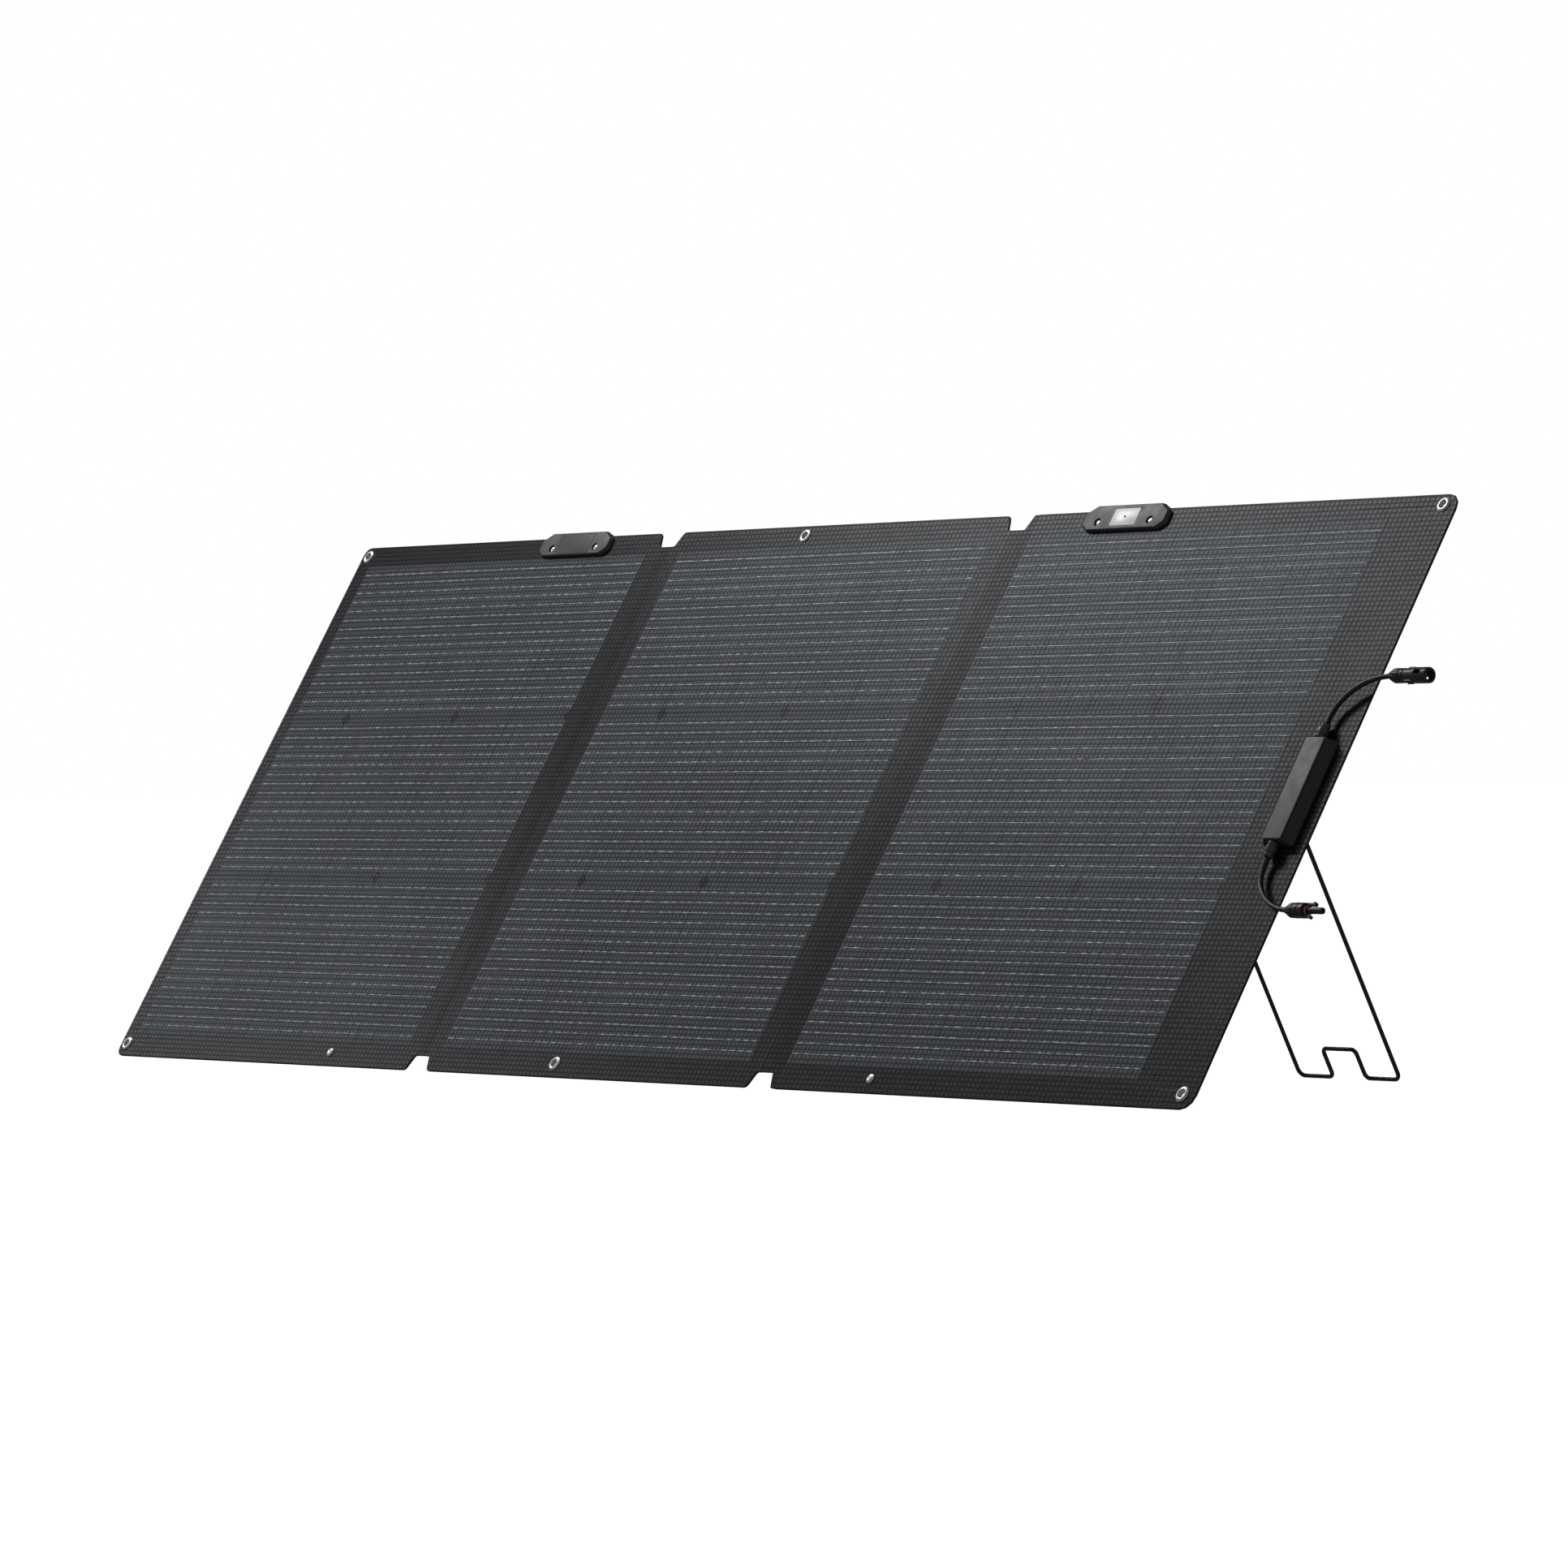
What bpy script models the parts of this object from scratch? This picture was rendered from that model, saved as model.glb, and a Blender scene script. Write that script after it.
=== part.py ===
"""Three-panel folding camping solar panel with wire back stands, a junction box and two short leads."""

import math

import bpy
import bmesh
from mathutils import Vector

# ---- driving dimensions, in metres and radians -------------------------------------------
PANEL_WIDTH = 1.888          # whole array, left edge to right edge
PANEL_HEIGHT = 0.686         # up the slope
TILT = math.radians(58.75)   # slope of the panels from the ground
STAND_ANGLE = math.radians(62.75)   # slope of the stand legs from the ground
GAP = 0.0003                 # left between touching pieces

FRONT_SHEET = 0.0008         # cell laminate
STIFFENER = 0.0007
BACK_FABRIC = 0.0005
THICKNESS = FRONT_SHEET + STIFFENER + BACK_FABRIC + 2 * GAP
STRIP_THICKNESS = 0.0010

# Each fold's notch and its two hinge lines: the middle panel's and the outer panel's. The right
# fold is the wider one, because the right panel folds over the left panel.
FOLDS = {
    "left": {"notch": -0.3389, "inner": -0.3329, "outer": -0.3449},
    "right": {"notch": 0.2732, "inner": 0.2690, "outer": 0.2990},
}
HINGE_CLEARANCE = 0.002      # from a hinge line to the panel beside it
STRIP_CLEARANCE = 0.001      # from a hinge line to the strip
NOTCH_DEPTH = 0.0183
NOTCH_OUTER = 0.0210         # half width at the panel's edge
NOTCH_INNER = 0.0137         # half width at the bottom of the notch
CORNER_LEFT = 0.010
CORNER_RIGHT = 0.016

CELL_LOW, CELL_HIGH = 0.0283, 0.6592           # cell field, up the slope
FIELDS = {"left": (-0.9225, -0.3705), "middle": (-0.3105, 0.2415), "right": (0.3015, 0.8535)}

EYELET_HOLE = 0.0040
EYELET_BARREL = 0.0048
EYELET_FLANGE = 0.0085
EYELET_WASHER = 0.0080
EYELETS = {
    "left_top": ("left", -0.9316, 0.6735), "left_bottom": ("left", -0.9316, 0.0150),
    "middle_top": ("middle", -0.0905, 0.6735), "middle_bottom": ("middle", -0.0905, 0.0155),
    "right_top": ("right", 0.9255, 0.6740), "right_bottom": ("right", 0.9255, 0.0155),
}
BOTTOM_RIVETS = {"left": -0.5150, "right": 0.4490}
BOTTOM_RIVET_V = 0.0158
RIVET_SHANK = 0.0020

# Edge clips on the top edge.
CLIP_U = {"left": -0.5135, "right": 0.4495}
CLIP_V = 0.6755
CLIP_SIZE = (0.134, 0.030)
CLIP_TOP_SCALE = (0.93, 0.94)
CLIP_HEIGHT = 0.0050
CLIP_BACK_HEIGHT = 0.0030
CLIP_RIVET_U = 0.0411        # from the clip's centre
CLIP_RIVET_V = 0.6700
WINDOW_SIZE = (0.0400, 0.0205)
PLATE_SIZE = (0.0640, 0.0250)
WINDOW_V = 0.6752

# Junction box on the right panel's right margin.
BOX_U, BOX_V = 0.9050, 0.3460
BOX_SIZE = (0.0440, 0.1170)
BOX_TOP = (0.0290, 0.1140)
LID_SIZE = (0.0270, 0.1136)
BOX_HEIGHT = 0.0102
BOX_WALL = 0.0018
LID_THICKNESS = 0.0015
GLAND_W = 0.0060             # height of the gland's axis over the panel
GLAND_LENGTH = 0.0160

# Leads and connectors, which lie along the panel's width.
LEAD_DIAMETER = 0.0052
LEAD_POINT_SPACING = 2.2 * LEAD_DIAMETER
UPPER_ROUTE = [
    (0.9050, 0.4215, 0.0060), (0.9054, 0.4300, 0.0060), (0.9085, 0.4390, 0.0066),
    (0.9140, 0.4475, 0.0074), (0.9220, 0.4560, 0.0080), (0.9315, 0.4625, 0.0084),
    (0.9430, 0.4678, 0.0085), (0.9560, 0.4713, 0.0083), (0.9686, 0.4730, 0.0080),
]
LOWER_ROUTE = [
    (0.9050, 0.2705, 0.0060), (0.9050, 0.2620, 0.0054), (0.9063, 0.2530, 0.0052),
    (0.9098, 0.2445, 0.0055), (0.9160, 0.2366, 0.0061), (0.9247, 0.2290, 0.0068),
    (0.9340, 0.2228, 0.0072), (0.9445, 0.2178, 0.0075), (0.9560, 0.2144, 0.0075),
    (0.9676, 0.2130, 0.0075),
]

# Back stands.
WIRE = 0.00225               # radius
STAND_U = {"left": -0.5765, "middle": -0.0345, "right": 0.5745}
HINGE_V = 0.5560
HINGE_OFFSET = 0.0050        # hinge axis behind the back fabric
LEG_U = 0.0765               # from the stand's centre
PIN_END_U = 0.0560
FOOT_NOTCH_U = 0.0250
FOOT_NOTCH = 0.0335
FOOT_BEND = 0.0080
BARREL = 0.0045
BARREL_SPAN = (0.0540, 0.0704)
BRACKET_SIZE = (0.1320, 0.0340)
BRACKET_THICKNESS = 0.0018
BRACKET_RIVET_U = 0.0300
BRACKET_RIVET_V = 0.0110     # above the hinge axis
BRACKET_RIVET_HEAD = 0.0038  # set in the stiffener

BACK_W = -THICKNESS
HINGE_W = BACK_W - HINGE_OFFSET


def stand_points():
    """Hinge axis height, foot height and leg length, on the ground under the lowest panel corner."""
    floor_z = -THICKNESS * math.cos(TILT)
    axis_y = HINGE_V * math.cos(TILT) - HINGE_W * math.sin(TILT)
    axis_z = HINGE_V * math.sin(TILT) + HINGE_W * math.cos(TILT)
    leg = (axis_z - floor_z - WIRE) / math.sin(STAND_ANGLE)
    return axis_y + leg * math.cos(STAND_ANGLE), leg


FOOT_Y, LEG = stand_points()
# The origin is on the ground, midway between the panels' front edge and the stands' feet.
ORIGIN_SHIFT = (0.0, -(FOOT_Y + WIRE) / 2, THICKNESS * math.cos(TILT))

COLOURS = {
    "cell_laminate": ((0.045, 0.053, 0.062), 0.45, 0.0),
    "fibre_board": ((0.10, 0.11, 0.09), 0.6, 0.0),
    "back_fabric": ((0.030, 0.032, 0.034), 0.85, 0.0),
    "fold_fabric": ((0.035, 0.038, 0.040), 0.8, 0.0),
    "steel_wire": ((0.012, 0.012, 0.013), 0.35, 0.6),
    "black_plastic": ((0.028, 0.029, 0.031), 0.5, 0.0),
    "grey_plastic": ((0.085, 0.088, 0.092), 0.45, 0.0),
    "nickel": ((0.62, 0.63, 0.63), 0.25, 1.0),
    "white_plastic": ((0.86, 0.87, 0.87), 0.4, 0.0),
    "circuit_board": ((0.03, 0.11, 0.05), 0.5, 0.0),
    "connector_plastic": ((0.015, 0.016, 0.016), 0.4, 0.0),
    "lead_sheath": ((0.012, 0.012, 0.013), 0.5, 0.0),
    "seal_rubber": ((0.55, 0.10, 0.12), 0.6, 0.0),
    "tinned_copper": ((0.70, 0.66, 0.58), 0.3, 1.0),
}


# ---- scene, collections, materials -------------------------------------------------------
for old in list(bpy.data.objects):
    bpy.data.objects.remove(old, do_unlink=True)

PARTS = bpy.data.collections.new("folding_solar_panel")
CUTTERS = bpy.data.collections.new("cutters")
for group in (PARTS, CUTTERS):
    bpy.context.scene.collection.children.link(group)


def make_material(name):
    colour, roughness, metallic = COLOURS[name]
    material = bpy.data.materials.new(name)
    material.use_nodes = True
    shader = material.node_tree.nodes["Principled BSDF"]
    shader.inputs["Base Color"].default_value = (*colour, 1)
    shader.inputs["Roughness"].default_value = roughness
    shader.inputs["Metallic"].default_value = metallic
    return material


MATERIALS = {name: make_material(name) for name in COLOURS}


def make_empty(name, parent=None, location=(0, 0, 0), rotation=(0, 0, 0)):
    empty = bpy.data.objects.new(name, None)
    empty.empty_display_size = 0.03
    PARTS.objects.link(empty)
    empty.parent = parent
    empty.location = location
    empty.rotation_euler = rotation
    return empty


# The array plane: X along the width, Y up the slope, Z out of the front.
PLANE = make_empty("array_plane", None, ORIGIN_SHIFT, (TILT, 0, 0))
HINGE_Z = -THICKNESS / 2     # hinge lines lie halfway through the thickness
PIVOTS = {"middle": (PLANE, Vector((0, 0, 0)))}


def add_pivot(name, parent_name, u, v, w):
    """An empty on a joint's axis, kept with its place in the array plane."""
    parent, base = PIVOTS[parent_name]
    place = Vector((u, v, w))
    PIVOTS[name] = (make_empty(name + "_pivot", parent, place - base), place)


for side, fold in FOLDS.items():
    add_pivot(side + "_fold_strip", "middle", fold["inner"], 0, HINGE_Z)
    add_pivot(side, side + "_fold_strip", fold["outer"], 0, HINGE_Z)
for side, stand_u in STAND_U.items():
    add_pivot(side + "_stand", side, stand_u, HINGE_V, HINGE_W)


# ---- modelling helpers -------------------------------------------------------------------
def link(obj, material=None, body=None, place=(0, 0, 0), rotation=(0, 0, 0)):
    """Puts an object in the parts, on a body's pivot, with its place given in the array plane."""
    PARTS.objects.link(obj)
    if material:
        obj.data.materials.clear()
        obj.data.materials.append(MATERIALS[material])
    if body:
        parent, base = PIVOTS[body]
        obj.parent = parent
        obj.location = Vector(place) - base
        obj.rotation_euler = rotation
    return obj


def as_cutter(obj):
    """Makes an object a hidden helper for a Boolean."""
    for group in obj.users_collection:
        group.objects.unlink(obj)
    CUTTERS.objects.link(obj)
    obj.hide_render = True
    obj.display_type = "WIRE"
    return obj


def boolean(obj, others, operation="DIFFERENCE"):
    for other in others:
        modifier = obj.modifiers.new(other.name, "BOOLEAN")
        modifier.operation = operation
        modifier.solver = "EXACT"
        modifier.object = as_cutter(other)


def smooth(mesh, degrees=35):
    mesh.shade_smooth()
    mesh.set_sharp_from_angle(angle=math.radians(degrees))


def baked(obj):
    """The object's mesh with its modifiers or its curve made real and its seams welded."""
    graph = bpy.context.evaluated_depsgraph_get()
    graph.update()
    mesh = bpy.data.meshes.new_from_object(obj.evaluated_get(graph))
    shape = bmesh.new()
    shape.from_mesh(mesh)
    bmesh.ops.remove_doubles(shape, verts=shape.verts, dist=1e-6)
    bmesh.ops.recalc_face_normals(shape, faces=shape.faces)
    shape.to_mesh(mesh)
    shape.free()
    for name in [m.object.name for m in obj.modifiers if m.type == "BOOLEAN"]:
        bpy.data.objects.remove(bpy.data.objects[name], do_unlink=True)
    bpy.data.objects.remove(obj, do_unlink=True)
    smooth(mesh)
    return mesh


def fillet(corners, closed=True, steps=3):
    """Points of a path whose corners, given as (point, radius), are rounded with arcs."""
    points = []
    for i, (corner, radius) in enumerate(corners):
        at = Vector(corner)
        if not radius or (not closed and i in (0, len(corners) - 1)):
            points.append(at)
            continue
        back = (Vector(corners[i - 1][0]) - at).normalized()
        ahead = (Vector(corners[(i + 1) % len(corners)][0]) - at).normalized()
        half = back.angle(ahead) / 2
        centre = at + (back + ahead).normalized() * radius / math.sin(half)
        trim = radius / math.tan(half)
        start = (at + back * trim - centre).normalized()
        end = (at + ahead * trim - centre).normalized()
        points += [centre + start.slerp(end, k / steps) * radius for k in range(steps + 1)]
    return points


def circle(u, v, radius, sides=12):
    turns = [2 * math.pi * (k + 0.5) / sides for k in range(sides)]
    return [Vector((u + radius * math.cos(a), v + radius * math.sin(a), 0)) for a in turns]


def curve_object(name, loops, fill="BOTH", closed=True, dimensions="2D"):
    curve = bpy.data.curves.new(name, "CURVE")
    curve.dimensions = dimensions
    curve.fill_mode = fill
    for loop in loops:
        spline = curve.splines.new("POLY")
        spline.points.add(len(loop) - 1)
        for point, place in zip(spline.points, loop):
            point.co = (*place, 1)
        spline.use_cyclic_u = closed
    return bpy.data.objects.new(name, curve)


def plate_mesh(name, loops, thickness):
    """A flat plate from its outline and its holes, centred on its own plane."""
    obj = curve_object(name, loops)
    obj.data.extrude = thickness / 2
    bpy.context.scene.collection.objects.link(obj)
    return baked(obj)


def plate(name, loops, low, high, material, body):
    mesh = plate_mesh(name, loops, high - low)
    return link(bpy.data.objects.new(name, mesh), material, body, (0, 0, (low + high) / 2))


def rectangle(size, corner, centre=(0, 0)):
    x, y = size[0] / 2, size[1] / 2
    signs = ((-1, -1), (1, -1), (1, 1), (-1, 1))
    return fillet([((centre[0] + i * x, centre[1] + j * y, 0), corner) for i, j in signs])


def drafted(name, outline, height, top_scale):
    """A prism on its outline, narrowed towards its top."""
    mesh = plate_mesh(name, [outline], height)
    for vertex in mesh.vertices:
        if vertex.co.z > 0:
            vertex.co.x *= top_scale[0]
            vertex.co.y *= top_scale[1]
        vertex.co.z += height / 2
    return bpy.data.objects.new(name, mesh)


def cylinder(name, radius, length, centre, axis="Z", sides=12):
    shape = bmesh.new()
    bmesh.ops.create_cone(
        shape, cap_ends=True, segments=sides, radius1=radius, radius2=radius, depth=length
    )
    mesh = bpy.data.meshes.new(name)
    shape.to_mesh(mesh)
    shape.free()
    obj = bpy.data.objects.new(name, mesh)
    obj.location = centre
    obj.rotation_euler = {"X": (0, math.pi / 2, 0), "Y": (math.pi / 2, 0, 0), "Z": (0, 0, 0)}[axis]
    return obj


def block(name, size, centre, rotation=(0, 0, 0)):
    shape = bmesh.new()
    bmesh.ops.create_cube(shape, size=1)
    bmesh.ops.scale(shape, vec=size, verts=shape.verts)
    mesh = bpy.data.meshes.new(name)
    shape.to_mesh(mesh)
    shape.free()
    obj = bpy.data.objects.new(name, mesh)
    obj.location = centre
    obj.rotation_euler = rotation
    return obj


def turned(name, profile, closed=True, steps=14):
    """A turned shape about Z from (radius, height) pairs that run down its outer side."""
    mesh = bpy.data.meshes.new(name)
    count = len(profile)
    edges = [(i, (i + 1) % count) for i in range(count if closed else count - 1)]
    mesh.from_pydata([(r, 0, z) for r, z in profile], edges, [])
    obj = bpy.data.objects.new(name, mesh)
    screw = obj.modifiers.new("Turn", "SCREW")
    screw.steps = screw.render_steps = steps
    screw.use_merge_vertices = True
    screw.merge_threshold = 1e-5
    return obj


def baked_from(obj, cutters=(), unions=()):
    """Joins and cuts a loose object and returns the finished mesh."""
    bpy.context.scene.collection.objects.link(obj)
    boolean(obj, unions, "UNION")
    boolean(obj, cutters)
    bpy.context.view_layer.update()
    return baked(obj)


def add(name, mesh, material, body, place, rotation=(0, 0, 0)):
    return link(bpy.data.objects.new(name, mesh), material, body, place, rotation)


# ---- panels ------------------------------------------------------------------------------
def fold_corners(side, fold_name, top):
    """The outline's corners beside a fold's notch, at the bottom or the top edge."""
    fold = FOLDS[fold_name]
    toward = 1 if side == "before" else -1
    on_middle = (side == "before") == (fold_name == "right")
    edge_u = fold["inner" if on_middle else "outer"] - toward * HINGE_CLEARANCE
    if abs(edge_u - fold["notch"]) < NOTCH_INNER:
        corners = [(fold["notch"] - toward * NOTCH_OUTER, 0, 0.006),
                   (fold["notch"] - toward * NOTCH_INNER, NOTCH_DEPTH, 0.004),
                   (edge_u, NOTCH_DEPTH, 0)]
    else:
        corners = [(edge_u, 0, 0)]
    if top:
        corners = [(u, PANEL_HEIGHT - v, radius) for u, v, radius in corners]
    return corners


def panel_outline(side):
    half = PANEL_WIDTH / 2
    if side == "left":
        low = [(-half, 0, CORNER_LEFT)] + fold_corners("before", "left", False)
        high = fold_corners("before", "left", True)[::-1] + [(-half, PANEL_HEIGHT, CORNER_LEFT)]
    elif side == "middle":
        low = fold_corners("after", "left", False)[::-1] + fold_corners("before", "right", False)
        high = fold_corners("before", "right", True)[::-1] + fold_corners("after", "left", True)
    else:
        low = fold_corners("after", "right", False)[::-1] + [(half, 0, CORNER_RIGHT)]
        high = [(half, PANEL_HEIGHT, CORNER_RIGHT)] + fold_corners("after", "right", True)
    return fillet([((u, v, 0), radius) for u, v, radius in low + high])


def panel_holes(side):
    holes = [circle(u, v, EYELET_BARREL + GAP) for body, u, v in EYELETS.values() if body == side]
    if side in CLIP_U:
        ends = [CLIP_U[side] + sign * CLIP_RIVET_U for sign in (-1, 1)]
        holes += [circle(u, CLIP_RIVET_V, RIVET_SHANK + GAP, 8) for u in ends]
        holes.append(circle(BOTTOM_RIVETS[side], BOTTOM_RIVET_V, RIVET_SHANK + GAP, 8))
    return holes


def bracket_holes(side, radius):
    ends = [STAND_U[side] + sign * BRACKET_RIVET_U for sign in (-1, 1)]
    return [circle(u, HINGE_V + BRACKET_RIVET_V, radius + GAP, 8) for u in ends]


def make_panel(side):
    outline = panel_outline(side)
    holes = panel_holes(side)
    plate(side + "_front_sheet", [outline] + holes, -FRONT_SHEET, 0, "cell_laminate", side)
    low, high = FIELDS[side]
    board = rectangle((high - low, CELL_HIGH - CELL_LOW), 0.006,
                      ((low + high) / 2, (CELL_LOW + CELL_HIGH) / 2))
    top = -FRONT_SHEET - GAP
    plate(side + "_stiffener", [board] + bracket_holes(side, BRACKET_RIVET_HEAD),
          top - STIFFENER, top, "fibre_board", side)
    top = BACK_W + BACK_FABRIC
    plate(side + "_back_fabric", [outline] + holes + bracket_holes(side, RIVET_SHANK), BACK_W, top,
          "back_fabric", side)


def make_fold_strip(side):
    """The strip between two hinge lines, cut by the notch as far as the notch reaches over it."""
    fold = FOLDS[side]
    start_u, end_u = sorted((fold["inner"], fold["outer"]))
    start_u, end_u = start_u + STRIP_CLEARANCE, end_u - STRIP_CLEARANCE
    low = [(start_u, NOTCH_DEPTH, 0)]
    if end_u > fold["notch"] + NOTCH_OUTER:
        low += [(fold["notch"] + NOTCH_INNER, NOTCH_DEPTH, 0.004),
                (fold["notch"] + NOTCH_OUTER, 0, 0.005), (end_u, 0, 0)]
    else:
        low.append((end_u, NOTCH_DEPTH, 0))
    high = [(u, PANEL_HEIGHT - v, radius) for u, v, radius in reversed(low)]
    outline = fillet([((u, v, 0), radius) for u, v, radius in low + high])
    plate(side + "_fold_strip", [outline], HINGE_Z - STRIP_THICKNESS / 2,
          HINGE_Z + STRIP_THICKNESS / 2, "fold_fabric", side + "_fold_strip")


# ---- eyelets and rivets ------------------------------------------------------------------
def make_eyelets():
    """Set eyelets: a barrel through the panel with a rolled flange in front and a washer behind."""
    back = BACK_W - GAP
    profile = [
        (EYELET_HOLE, 0.0011), (0.0060, 0.0017), (0.0078, 0.0012), (EYELET_FLANGE, GAP),
        (EYELET_BARREL, GAP), (EYELET_BARREL, back), (EYELET_WASHER, back),
        (EYELET_WASHER, back - 0.0008), (EYELET_HOLE, back - 0.0008),
    ]
    mesh = baked_from(turned("eyelet", profile))
    for name, (body, u, v) in EYELETS.items():
        add(name + "_eyelet", mesh, "nickel", body, (u, v, 0))


def rivet_mesh(name, head, head_low, head_high, tail_top, tail_radius):
    """A rivet with a domed head, a shank through to the back and a flat tail head."""
    profile = [
        (0, head_high), (head * 0.6, head_high - 0.15 * (head_high - head_low)),
        (head * 0.93, head_low + 0.45 * (head_high - head_low)), (head, head_low),
        (RIVET_SHANK, head_low), (RIVET_SHANK, tail_top),
        (tail_radius, tail_top), (tail_radius * 0.85, tail_top - 0.0008), (0, tail_top - 0.0009),
    ]
    return baked_from(turned(name, profile, closed=False, steps=12))


def make_bottom_rivets():
    mesh = rivet_mesh("bottom_rivet", 0.0055, GAP, GAP + 0.0016, BACK_W - GAP, 0.0050)
    for side, u in BOTTOM_RIVETS.items():
        add(side + "_bottom_rivet", mesh, "nickel", side, (u, BOTTOM_RIVET_V, 0))


# ---- edge clips --------------------------------------------------------------------------
def clip_outline(size):
    x, y = size[0] / 2, size[1] / 2
    low_x, low_y, high_x, high_y = 0.010, 0.007, 0.014, 0.009
    corners = [
        (-x + low_x, -y), (x - low_x, -y), (x, -y + low_y), (x, y - high_y),
        (x - high_x, y), (-x + high_x, y), (-x, y - high_y), (-x, -y + low_y),
    ]
    return fillet([((u, v, 0), 0.002) for u, v in corners], steps=2)


def clip_shell(name, height, pocket, rivet_cutters):
    """Half of an edge clip, with the lip that closes over the panel's top edge."""
    shell = drafted(name, clip_outline(CLIP_SIZE), height, CLIP_TOP_SCALE)
    lip_low = PANEL_HEIGHT + GAP - CLIP_V
    lip_high = CLIP_SIZE[1] / 2
    lip_depth = GAP / 2 + THICKNESS / 2
    lip = block(name + "_lip", (0.099, lip_high - lip_low, lip_depth + 0.001),
                (0, (lip_low + lip_high) / 2, (0.001 - lip_depth) / 2))
    cutters = rivet_cutters()
    if pocket:
        size = (pocket[0] + 2 * GAP, pocket[1] + 2 * GAP, 0.004)
        cutters.append(block(name + "_pocket", size, (0, WINDOW_V - CLIP_V, height - 0.0012 + 0.002)))
    return baked_from(shell, cutters, [lip])


def front_rivet_cutters():
    """Stepped holes: a counterbore for each rivet's head and a through hole for its shank."""
    v = CLIP_RIVET_V - CLIP_V
    made = []
    for sign in (-1, 1):
        u = sign * CLIP_RIVET_U
        made.append(cylinder("counterbore", 0.0042, 0.010, (u, v, 0.0016 + 0.005)))
        made.append(cylinder("shank_hole", RIVET_SHANK + GAP, 0.020, (u, v, 0)))
    return made


def back_rivet_cutters():
    v = CLIP_RIVET_V - CLIP_V
    ends = [(sign * CLIP_RIVET_U, v, 0) for sign in (-1, 1)]
    return [cylinder("shank_hole", RIVET_SHANK + GAP, 0.020, end) for end in ends]


def make_clips():
    pockets = {"left": PLATE_SIZE, "right": WINDOW_SIZE}
    back_mesh = clip_shell("clip_back", CLIP_BACK_HEIGHT, None, back_rivet_cutters)
    tail_top = BACK_W - GAP - CLIP_BACK_HEIGHT - GAP
    rivet = rivet_mesh("clip_rivet", 0.0037, GAP + 0.0019, GAP + 0.0032, tail_top, 0.0037)
    for side, u in CLIP_U.items():
        front = clip_shell("clip_front_" + side, CLIP_HEIGHT, pockets[side], front_rivet_cutters)
        add(side + "_clip_front", front, "black_plastic", side, (u, CLIP_V, GAP))
        # The back half is turned about the width, so its lip is mirrored to the same edge.
        back = add(side + "_clip_back", back_mesh.copy(), "black_plastic", side, (u, CLIP_V, BACK_W - GAP))
        for vertex in back.data.vertices:
            vertex.co.z = -vertex.co.z
        back.data.flip_normals()
        for word, sign in (("outer", -1 if side == "left" else 1), ("inner", 1 if side == "left" else -1)):
            place = (u + sign * CLIP_RIVET_U, CLIP_RIVET_V, 0)
            add(side + "_clip_rivet_" + word, rivet, "nickel", side, place)


def make_clip_inserts():
    floor = GAP + CLIP_HEIGHT - 0.0012 + GAP
    label = drafted("plain_plate", rectangle(PLATE_SIZE, 0.0015), 0.0010, (0.99, 0.98))
    add("left_clip_plate", label.data, "black_plastic", "left", (CLIP_U["left"], WINDOW_V, floor))
    window = drafted("window", rectangle(WINDOW_SIZE, 0.001), 0.0010, (0.99, 0.98))
    bpy.context.scene.collection.objects.link(window)
    boolean(window, [cylinder("pin_hole", 0.0011, 0.01, (0, 0, 0), sides=12)])
    bpy.context.view_layer.update()
    add("sun_guide_window", baked(window), "white_plastic", "right", (CLIP_U["right"], WINDOW_V, floor))
    pin = turned("sun_guide_pin", [(0, 0.0022), (0.0008, 0.0019), (0.0008, 0), (0, 0)], False, 12)
    add("sun_guide_pin", baked_from(pin), "black_plastic", "right", (CLIP_U["right"], WINDOW_V, floor))


# ---- junction box ------------------------------------------------------------------------
def make_junction_box():
    scale = (BOX_TOP[0] / BOX_SIZE[0], BOX_TOP[1] / BOX_SIZE[1])
    shell = drafted("junction_box", rectangle(BOX_SIZE, 0.003), BOX_HEIGHT, scale)
    inner_size = (BOX_SIZE[0] - 2 * BOX_WALL, BOX_SIZE[1] - 2 * BOX_WALL)
    hollow = drafted("box_hollow", rectangle(inner_size, 0.002), BOX_HEIGHT,
                     ((BOX_TOP[0] - 2 * BOX_WALL) / inner_size[0], (BOX_TOP[1] - 2 * BOX_WALL) / inner_size[1]))
    hollow.location = (0, 0, BOX_WALL)
    gland_hole = cylinder("gland_holes", 0.0036, BOX_SIZE[1] + 0.01, (0, 0, GLAND_W - GAP), "Y")
    mesh = baked_from(shell, [hollow, gland_hole])
    add("junction_box_base", mesh, "black_plastic", "right", (BOX_U, BOX_V, GAP))
    lid = drafted("lid", rectangle(LID_SIZE, 0.0025), LID_THICKNESS, (0.97, 0.99))
    add("junction_box_lid", lid.data, "grey_plastic", "right", (BOX_U, BOX_V, BOX_HEIGHT + 2 * GAP))
    board = drafted("board", rectangle((0.020, 0.084), 0.001), 0.0016, (1, 1))
    add("diode_board", board.data, "circuit_board", "right", (BOX_U, BOX_V, 0.0040))


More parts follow.
